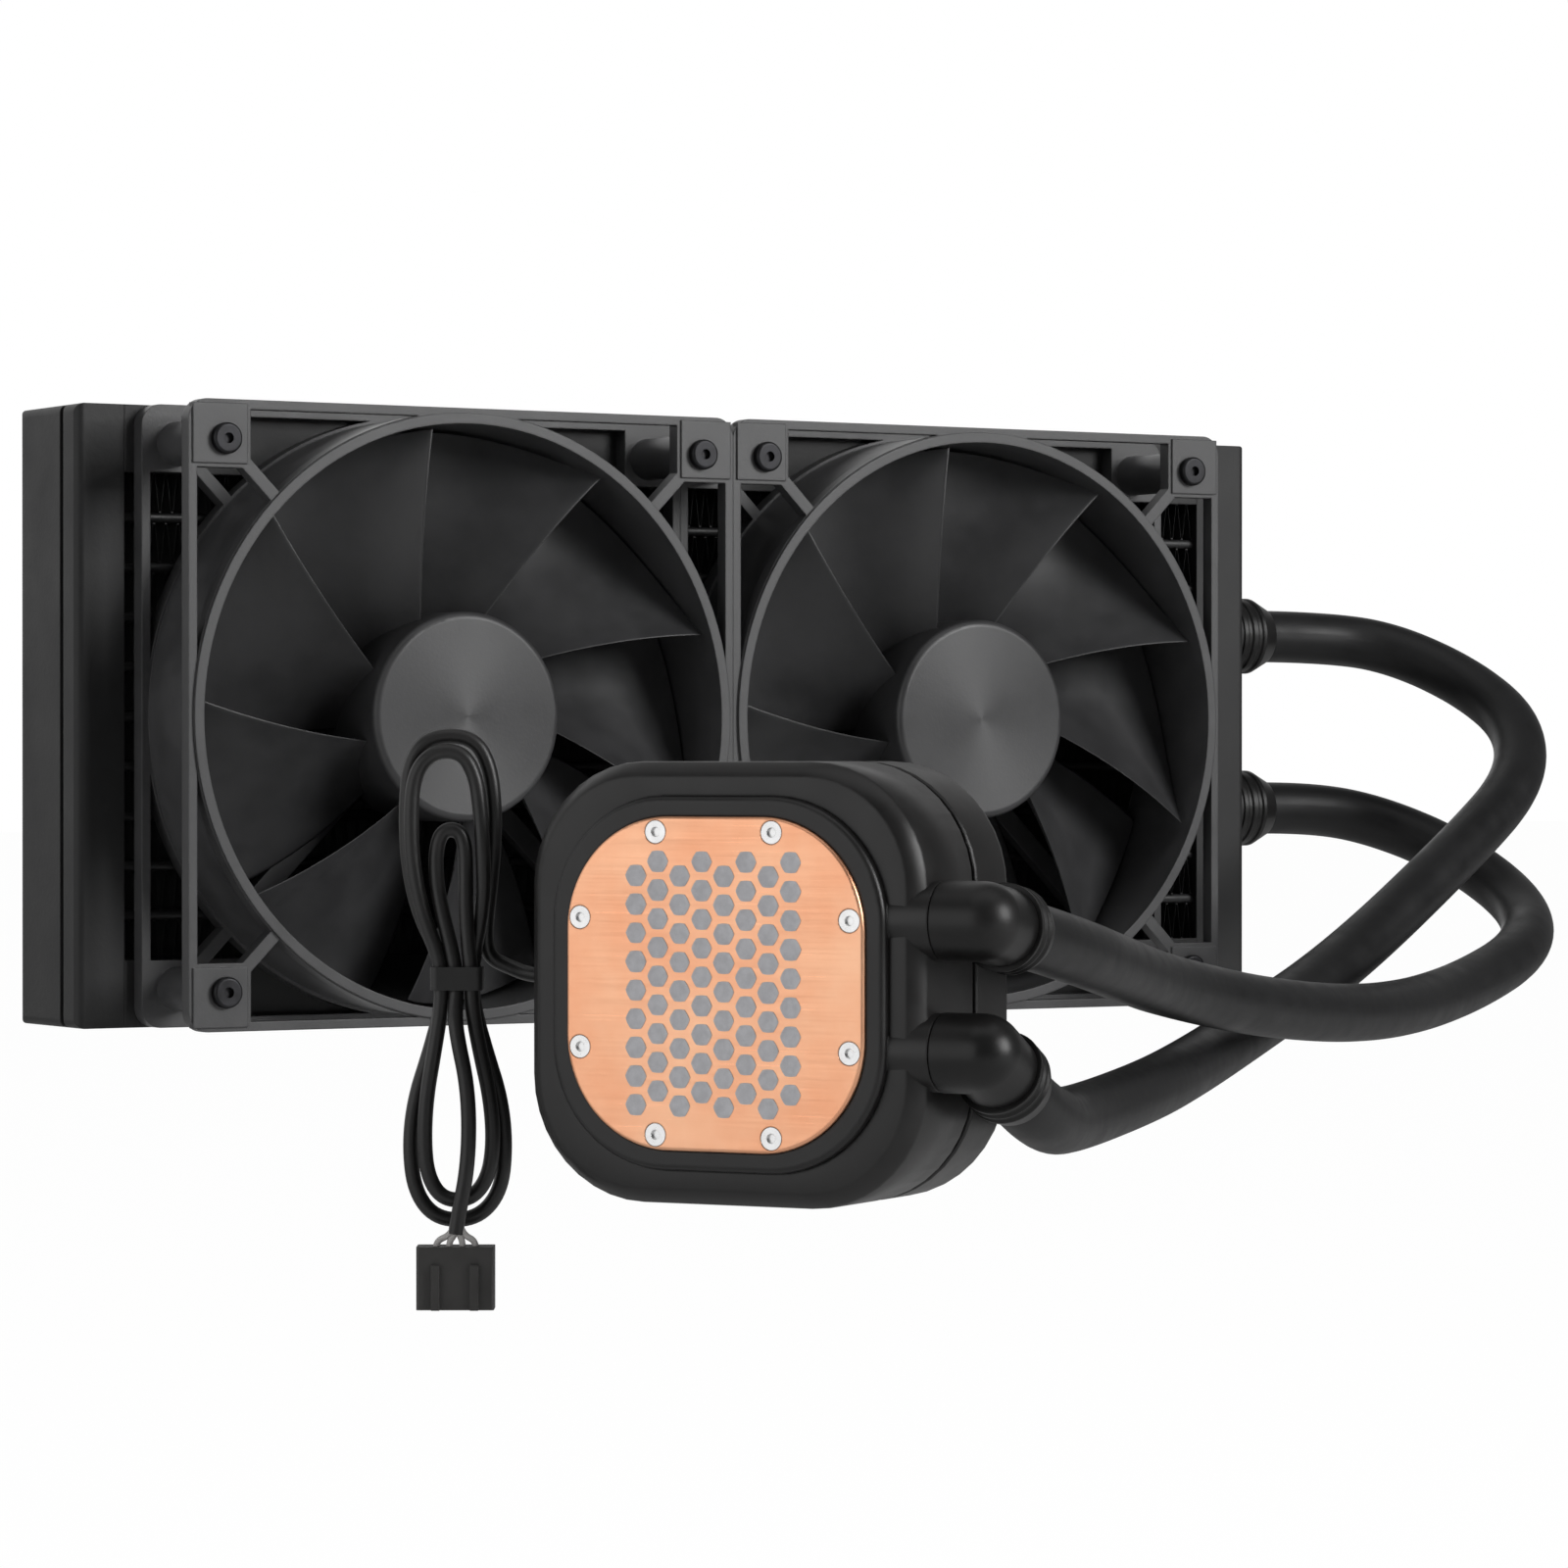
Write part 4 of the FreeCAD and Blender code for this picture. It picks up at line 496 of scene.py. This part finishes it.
def make_materials():
    """Every finish on the cooler, by a short name."""
    return {
        "coat": powder_coat(),
        "fin": painted_fin(),
        "frame": moulded_plastic("Glass-filled nylon, fan frame", "#3A3A3B", "#434344", 0.40),
        "rotor": rotor_plastic(),
        "block": moulded_plastic("ABS, pump block", "#141313", "#1B1A1A", 0.38, 0.4, 0.008, 0.5, 0.45),
        "fitting": moulded_plastic("Acetal, fittings", "#121212", "#191818", 0.38, 0.5, 0.01, 0.4, 0.35),
        "copper": ground_copper(),
        "paste": thermal_compound(),
        "zinc": metal("Steel, bright zinc", "#DCDCDC", "#F2F2F2", 0.28),
        "black steel": metal("Steel, black oxide", "#2C2C2D", "#38383A", 0.42),
        "hose": hose_rubber(),
        "seal": moulded_plastic("Nitrile rubber seal", "#151515", "#1B1B1B", 0.6, 0.3, 0.01, 0.1),
        "jacket": moulded_plastic("PVC cable jacket", "#151515", "#1D1C1C", 0.40, 1.2, 0.02, 0.0),
        "plug": moulded_plastic("Nylon connector", "#2E2D2C", "#383736", 0.40, 0.4, 0.01, 0.2),
        "tie": moulded_plastic("Coated wire tie", "#1A1A1A", "#222222", 0.45, 0.4, 0.01, 0.2),
        "wire": moulded_plastic("PVC wire, light grey", "#B9B6B4", "#CBC8C6", 0.4, 0.8, 0.01, 0.0),
        "magnet": moulded_plastic("Bonded ferrite", "#2A2A2D", "#34343A", 0.55, 0.4, 0.03, 0.2),
        "lamination": metal("Silicon steel sheet", "#6A6A6C", "#7D7D80", 0.4, 0.5, 0.05),
        "winding": enamelled_wire(),
        "board": circuit_board(),
        "bronze": metal("Sintered bronze", "#9A7442", "#B08850", 0.5, 0.3, 0.03),
        "ceramic": moulded_plastic("Alumina ceramic", "#E2E1DC", "#ECEBE6", 0.2, 0.8, 0.003, 0.1),
        "wheel": moulded_plastic("PPS, pump wheel", "#3A3A3C", "#444446", 0.42, 0.4, 0.01, 0.2),
    }


FINISHES = {}
DRESS = {
    "coat": ["tank_left", "tank_right", "rail_top", "rail_bottom"],
    "fin": ["core_tubes"],
    "fitting": ["port_collar_upper", "port_collar_lower", "elbow_upper", "elbow_lower",
                "hose_sleeve_upper", "hose_sleeve_lower"],
    "frame": ["fan_frame_left", "fan_frame_right"],
    "rotor": ["fan_rotor_left", "fan_rotor_right"],
    "block": ["pump_base"],
    "copper": ["cold_plate"],
    "zinc": ["cold_plate_screws", "fan_shaft_left", "fan_shaft_right"],
    "black steel": ["fan_screws_left", "fan_screws_right"],
    "seal": ["plate_gasket", "elbow_seal_upper", "elbow_seal_lower"],
    "jacket": ["cable_boot"],
    "tie": ["cable_tie"],
    "plug": ["cable_plug"],
    "magnet": ["fan_magnet_left", "fan_magnet_right", "impeller_magnet"],
    "lamination": ["fan_stator_left", "fan_stator_right", "pump_stator"],
    "winding": ["fan_coils_left", "fan_coils_right", "pump_coils"],
    "board": ["fan_board_left", "fan_board_right", "pump_board"],
    "bronze": ["fan_bearing_left", "fan_bearing_right"],
    "ceramic": ["pump_shaft"],
    "wheel": ["impeller", "flow_plate"],
}


# Sizes and colours that a user would change

class CoolerSizes(bpy.types.PropertyGroup):
    """Sizes of the dressed pieces."""
    hose_width: bpy.props.FloatProperty(
        name="Hose width", description="Outside diameter of each hose",
        default=0.0114, min=0.008, max=0.014, unit="LENGTH")
    lead_width: bpy.props.FloatProperty(
        name="Lead width", description="Outside diameter of the pump lead",
        default=0.0026, min=0.0015, max=0.004, unit="LENGTH")
    fin_pitch: bpy.props.FloatProperty(
        name="Fin pitch", description="Distance between two folds of a radiator fin",
        default=0.0026, min=0.0015, max=0.01, unit="LENGTH")
    dot_height: bpy.props.FloatProperty(
        name="Paste dot height", description="How far each dot of compound stands off the plate",
        default=0.00025, min=0.0001, max=0.0006, unit="LENGTH")


class StageSizes(bpy.types.PropertyGroup):
    """The floor and the lamps."""
    floor_height: bpy.props.FloatProperty(
        name="Floor height", description="Height of the floor",
        default=-0.30, min=-2.0, max=-0.103, unit="LENGTH")
    floor_colour: bpy.props.FloatVectorProperty(
        name="Floor colour", description="Colour of the floor", subtype="COLOR", size=4,
        default=shade("#F2F2F2"), min=0.0, max=1.0)


# Operators

class COOLER_OT_camera(bpy.types.Operator):
    """Places the camera at the photograph's viewing angle"""
    bl_idname = "cooler.camera"
    bl_label = "Camera"

    def execute(self, context):
        lens = bpy.data.cameras.new("camera")
        lens.lens = 124.9
        lens.sensor_width = 36.0
        lens.clip_start, lens.clip_end = 0.05, 50.0
        camera = bpy.data.objects.new("camera", lens)
        camera.location = (-0.5624, -0.9850, -0.0089)
        camera.rotation_euler = (math.radians(89.7725), 0.0, math.radians(-31.6))
        context.scene.collection.objects.link(camera)
        context.scene.camera = camera
        return {"FINISHED"}


def make_hose(port, hose, width):
    """A hose: a tube about its route's spline, whose end lies on the line of the elbow's arm."""
    line = smooth_line(hose_route(hose))
    thing = piece("hose_from_%s_port" % port, [skin(tube(line, width / 2 / MM, (0, 0, 1), 40))],
                  None, FINISHES["hose"], ["hose_" + port], 50, False)
    lay_along(thing, line, 40)
    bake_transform(thing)


class COOLER_OT_hoses(bpy.types.Operator):
    """Runs both hoses from the radiator's ports to the block's elbows"""
    bl_idname = "cooler.hoses"
    bl_label = "Hoses"

    def execute(self, context):
        for port, hose in HOSES.items():
            make_hose(port, hose, context.scene.cooler_sizes.hose_width)
        return {"FINISHED"}


class COOLER_OT_lead(bpy.types.Operator):
    """Folds the pump lead into its tied hank and ends it in its plug"""
    bl_idname = "cooler.lead"
    bl_label = "Pump lead"

    def execute(self, context):
        width = context.scene.cooler_sizes.lead_width
        route = np.vstack([
            from_block([BOOT_END]), LEAD_START, from_hank(HANK_LINE), from_hank(TAIL_LINE)])
        line = smooth_line(route, 8)
        forward = from_hank([(0, 1, 0)])[0] - HANK_AT
        lead = piece("pump_lead", [skin(tube(line, width / 2 / MM, forward, 14))], "cooler",
                     FINISHES["jacket"],
                     ["cable_lead", "cable_hank", "cable_tail"], 60)
        lay_along(lead, line, 14)
        wires = []
        for k in range(4):
            x = (k - 1.5) * 2.3
            strand = smooth_line(from_hank([
                (0.25 + x * 0.2, 4.4, -88.2), (0.2 + x * 0.35, 4.4, -89.4),
                (x, 4.4, -90.4), (x, 4.4, -92.0)]), 6)
            wires.append(skin(tube(strand, 0.55, forward, 10)))
        wiring = piece("plug_wires", wires, "cooler", FINISHES["wire"],
                       (), 60)
        return {"FINISHED"}


def folded_strip(x0, x1, z0, z1, y0, y1, pitch, thick):
    """A fin folded to and fro between z0 and z1: a triangle wave in x with a flat at each
    fold, given a thickness along z, and carried from y0 to y1."""
    folds = 2 * max(2, round((x1 - x0) / pitch))
    x = np.linspace(x0 + 0.2, x1 - 0.2, folds + 1)
    flat = (x[1] - x[0]) * 0.16
    xs = np.stack([x - flat, x + flat], -1).ravel()
    up = np.repeat(np.arange(folds + 1) % 2, 2)
    top = np.where(up == 1, z1, z0 + thick)
    low = top - thick
    front, rear = np.full_like(xs, y0), np.full_like(xs, y1)
    return np.stack([
        np.stack([xs, front, top], -1), np.stack([xs, front, low], -1),
        np.stack([xs, rear, low], -1), np.stack([xs, rear, top], -1)], 1)


class COOLER_OT_fins(bpy.types.Operator):
    """Fills the radiator's core with finely folded fins between its flat tubes"""
    bl_idname = "cooler.fins"
    bl_label = "Radiator fins"

    def execute(self, context):
        pitch = context.scene.cooler_sizes.fin_pitch / MM
        low, high = (np.array(c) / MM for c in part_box("core_fins"))
        rows, thick = 10, 2.0
        row = (high[2] - low[2] - (rows - 1) * thick) / rows
        strips = [
            skin(folded_strip(low[0], high[0], low[2] + i * (row + thick),
                              low[2] + i * (row + thick) + row, low[1], high[1], pitch, 0.22))
            for i in range(rows)
        ]
        piece("radiator_fins", strips, "cooler", FINISHES["fin"],
              ["core_fins"], 20)
        return {"FINISHED"}


class COOLER_OT_block(bpy.types.Operator):
    """Shells the pump block: its wide housing, its joint groove and its crowned cap"""
    bl_idname = "cooler.block"
    bl_label = "Pump block"

    def execute(self, context):
        ring = squares([
            (31.05, 21.05, 2.6), (34.0, 18.3, 2.5), (34.5, 18.7, 2.65), (36.6, 20.8, 4.75),
            (36.8, 21.0, 5.3), (36.8, 21.0, 22.3), (36.5, 20.7, 22.8), (35.8, 20.0, 23.0),
            (31.05, 21.05, 23.0)])
        piece("block_housing", [skin(from_block(ring), joined=True)], "cooler",
              FINISHES["block"], ["pump_housing"], 35)
        a = np.linspace(0, math.pi / 2, 8)
        edge = [(33.8 + 3 * math.cos(t), 18.0 + 3 * math.cos(t), 35.1 + 3 * math.sin(t))
                for t in a]
        crown = [(33.8 * k, 18.0 * k, 38.1 + 0.35 * (1 - k ** 2)) for k in (0.85, 0.6, 0.3, 0.02)]
        cap = squares([(34.4, 18.6, 23.0), (35.8, 20.0, 23.0), (35.8, 20.0, 24.0),
                       (36.5, 20.7, 24.0), (36.8, 21.0, 24.4)] + edge + crown)
        piece("block_cap", [skin(from_block(cap))], "cooler", FINISHES["block"],
              ["pump_cap"], 35)
        return {"FINISHED"}


class COOLER_OT_paste(bpy.types.Operator):
    """Prints the dots of thermal compound on the cold plate"""
    bl_idname = "cooler.paste"
    bl_label = "Thermal compound"

    def execute(self, context):
        height = context.scene.cooler_sizes.dot_height / MM
        seeded = np.random.default_rng(7)
        pitch, columns, rows = 4.756, 8, 9
        dots = []
        for i in range(columns):
            for j in range(rows):
                x = (i - (columns - 1) / 2) * pitch * math.sqrt(3) / 2
                z = (j - (rows - 1) / 2) * pitch + (pitch / 4 if i % 2 else -pitch / 4)
                dots.append(self.dot(x, z, height, seeded))
        piece("compound_dots", dots, "cooler", FINISHES["paste"],
              ["thermal_paste"], 50)
        return {"FINISHED"}

    def dot(self, x, z, height, seeded):
        """A low six-sided pad: radius 1.83*(1 + 0.05 cos 6t), drawn in as it rises."""
        t = np.linspace(0, 2 * math.pi, 18, endpoint=False)
        size = 1.83 * (1 + 0.05 * np.cos(6 * t)) * (1 + seeded.uniform(-0.03, 0.03))
        rows = []
        for share, lift in ((1.0, 0.02), (1.0, -0.5), (0.9, -0.86), (0.6, -0.98), (0.1, -1.0)):
            rows.append(np.stack([
                x + size * share * np.cos(t), np.full_like(t, lift * height),
                z + size * share * np.sin(t)], -1))
        return skin(from_block(np.array(rows)))


class COOLER_OT_dress(bpy.types.Operator):
    """Gives each solid that shows as it is its finish"""
    bl_idname = "cooler.dress"
    bl_label = "Finishes"

    def execute(self, context):
        for finish, names in DRESS.items():
            for name in names:
                slots = NODES[name].data.materials
                slots.clear()
                slots.append(FINISHES[finish])
        return {"FINISHED"}


def lamp(name, place, aim, size, strength, colour="#FFFFFF"):
    """A soft rectangular lamp of an even radiance: power is pi times area times radiance."""
    light = bpy.data.lights.new(name, "AREA")
    light.shape = "RECTANGLE"
    light.size, light.size_y = size
    light.energy = strength * size[0] * size[1] * math.pi
    light.color = shade(colour)[:3]
    thing = bpy.data.objects.new(name, light)
    thing.location = place
    way = np.asarray(aim, float) - np.asarray(place, float)
    way /= np.linalg.norm(way)
    thing.rotation_euler = (
        math.acos(-way[2]), 0.0, math.atan2(way[1], way[0]) - math.pi / 2)
    bpy.context.scene.collection.objects.link(thing)
    return thing


class COOLER_OT_stage(bpy.types.Operator):
    """Lays the pale floor and sets the soft studio lamps"""
    bl_idname = "cooler.stage"
    bl_label = "Stage"

    def execute(self, context):
        sizes = context.scene.cooler_stage
        scene = context.scene
        scene.view_settings.view_transform = "Standard"
        mesh = bpy.data.meshes.new("floor")
        span = 20.0
        z = sizes.floor_height
        mesh.from_pydata([(-span, -span, z), (span, -span, z), (span, span, z),
                          (-span, span, z)], [], [(0, 1, 2, 3)])
        material, tree, shader, place = start("Studio floor, matt white", Roughness=0.9)
        shader.inputs["Base Color"].default_value = tuple(sizes.floor_colour)
        noise = add(tree, "ShaderNodeTexNoise", [(place, "Vector")], inputs={"Scale": 3.0})
        bump = add(tree, "ShaderNodeBump", [(noise.outputs["Fac"], "Height")],
                   inputs={"Distance": 0.0005, "Strength": 0.2})
        tree.links.new(bump.outputs["Normal"], shader.inputs["Normal"])
        # Seen straight on, the floor is lifted towards white and keeps most of its shadow
        path = add(tree, "ShaderNodeLightPath")
        glow = add(tree, "ShaderNodeEmission", inputs={"Color": (1, 1, 1, 1), "Strength": 1.03})
        share = add(tree, "ShaderNodeMath", [(path.outputs["Is Camera Ray"], 0)],
                    operation="MULTIPLY")
        share.inputs[1].default_value = 0.95
        mix = add(tree, "ShaderNodeMixShader", [
            (share.outputs[0], 0), (shader.outputs["BSDF"], 1), (glow.outputs[0], 2)])
        tree.links.new(mix.outputs[0], tree.nodes["Material Output"].inputs["Surface"])
        mesh.materials.append(material)
        floor = bpy.data.objects.new("floor", mesh)
        scene.collection.objects.link(floor)
        self.room(scene)
        lamp("softbox_right", (1.28, -2.3, 0.95), (0.0, -0.1, 0.0), (1.1, 1.3), 11.0)
        lamp("softbox_top", (-0.2, -0.5, 1.9), (0.0, -0.1, 0.0), (2.4, 1.4), 0.7)
        lamp("softbox_left", (-1.9, -0.33, 0.1), (-0.1, -0.2, -0.04), (2.0, 1.9), 1.08)
        return {"FINISHED"}

    def room(self, scene):
        """A dim room with a white backdrop behind the object: the camera sees white all round,
        and gloss and glass see the backdrop where it stands, towards +Y."""
        world = bpy.data.worlds.new("room")
        scene.world = world
        world.use_nodes = True
        tree = world.node_tree
        plain = tree.nodes["Background"]
        plain.inputs["Color"].default_value = (1, 1, 1, 1)
        plain.inputs["Strength"].default_value = ROOM_LEVEL
        seen = add(tree, "ShaderNodeBackground",
                   inputs={"Color": (1, 1, 1, 1), "Strength": 1.0})
        path = add(tree, "ShaderNodeLightPath").outputs
        way = add(tree, "ShaderNodeTexCoord").outputs["Generated"]
        depth = add(tree, "ShaderNodeSeparateXYZ", [(way, "Vector")]).outputs["Y"]
        backdrop = add(tree, "ShaderNodeMapRange", [(depth, "Value")],
                       inputs={"From Min": 0.35, "From Max": 0.85})
        clear = add(tree, "ShaderNodeMath", [
            (path["Is Glossy Ray"], 0), (path["Is Transmission Ray"], 1)], operation="MAXIMUM")
        shown = add(tree, "ShaderNodeMath", [(clear.outputs[0], 0), (backdrop.outputs[0], 1)],
                    operation="MULTIPLY")
        share = add(tree, "ShaderNodeMath", [(path["Is Camera Ray"], 0), (shown.outputs[0], 1)],
                    operation="MAXIMUM")
        mix = add(tree, "ShaderNodeMixShader", [
            (share.outputs[0], 0), (plain.outputs[0], 1), (seen.outputs[0], 2)])
        tree.links.new(mix.outputs[0], tree.nodes["World Output"].inputs["Surface"])


class COOLER_PT_panel(bpy.types.Panel):
    """Lists the cooler's sizes and its makers"""
    bl_idname = "COOLER_PT_panel"
    bl_label = "Liquid cooler"
    bl_space_type = "VIEW_3D"
    bl_region_type = "UI"
    bl_category = "Cooler"

    def draw(self, context):
        column = self.layout.column()
        for group in (context.scene.cooler_sizes, context.scene.cooler_stage):
            for key in type(group).__annotations__:
                column.prop(group, key)
        for operator in OPERATORS:
            column.operator(operator.bl_idname)


OPERATORS = (
    COOLER_OT_camera, COOLER_OT_hoses, COOLER_OT_lead, COOLER_OT_fins, COOLER_OT_block,
    COOLER_OT_paste, COOLER_OT_dress, COOLER_OT_stage,
)
CLASSES = (CoolerSizes, StageSizes, *OPERATORS, COOLER_PT_panel)


def register():
    for cls in CLASSES:
        bpy.utils.register_class(cls)
    bpy.types.Scene.cooler_sizes = bpy.props.PointerProperty(type=CoolerSizes)
    bpy.types.Scene.cooler_stage = bpy.props.PointerProperty(type=StageSizes)


def unregister():
    del bpy.types.Scene.cooler_stage
    del bpy.types.Scene.cooler_sizes
    for cls in reversed(CLASSES):
        bpy.utils.unregister_class(cls)


def main():
    """Registers the add-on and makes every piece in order."""
    register()
    FINISHES.update(make_materials())
    bpy.ops.cooler.camera()
    bpy.ops.cooler.hoses()
    bpy.ops.cooler.lead()
    bpy.ops.cooler.fins()
    bpy.ops.cooler.block()
    bpy.ops.cooler.paste()
    bpy.ops.cooler.dress()
    bpy.ops.cooler.stage()


if __name__ == "__main__":
    main()
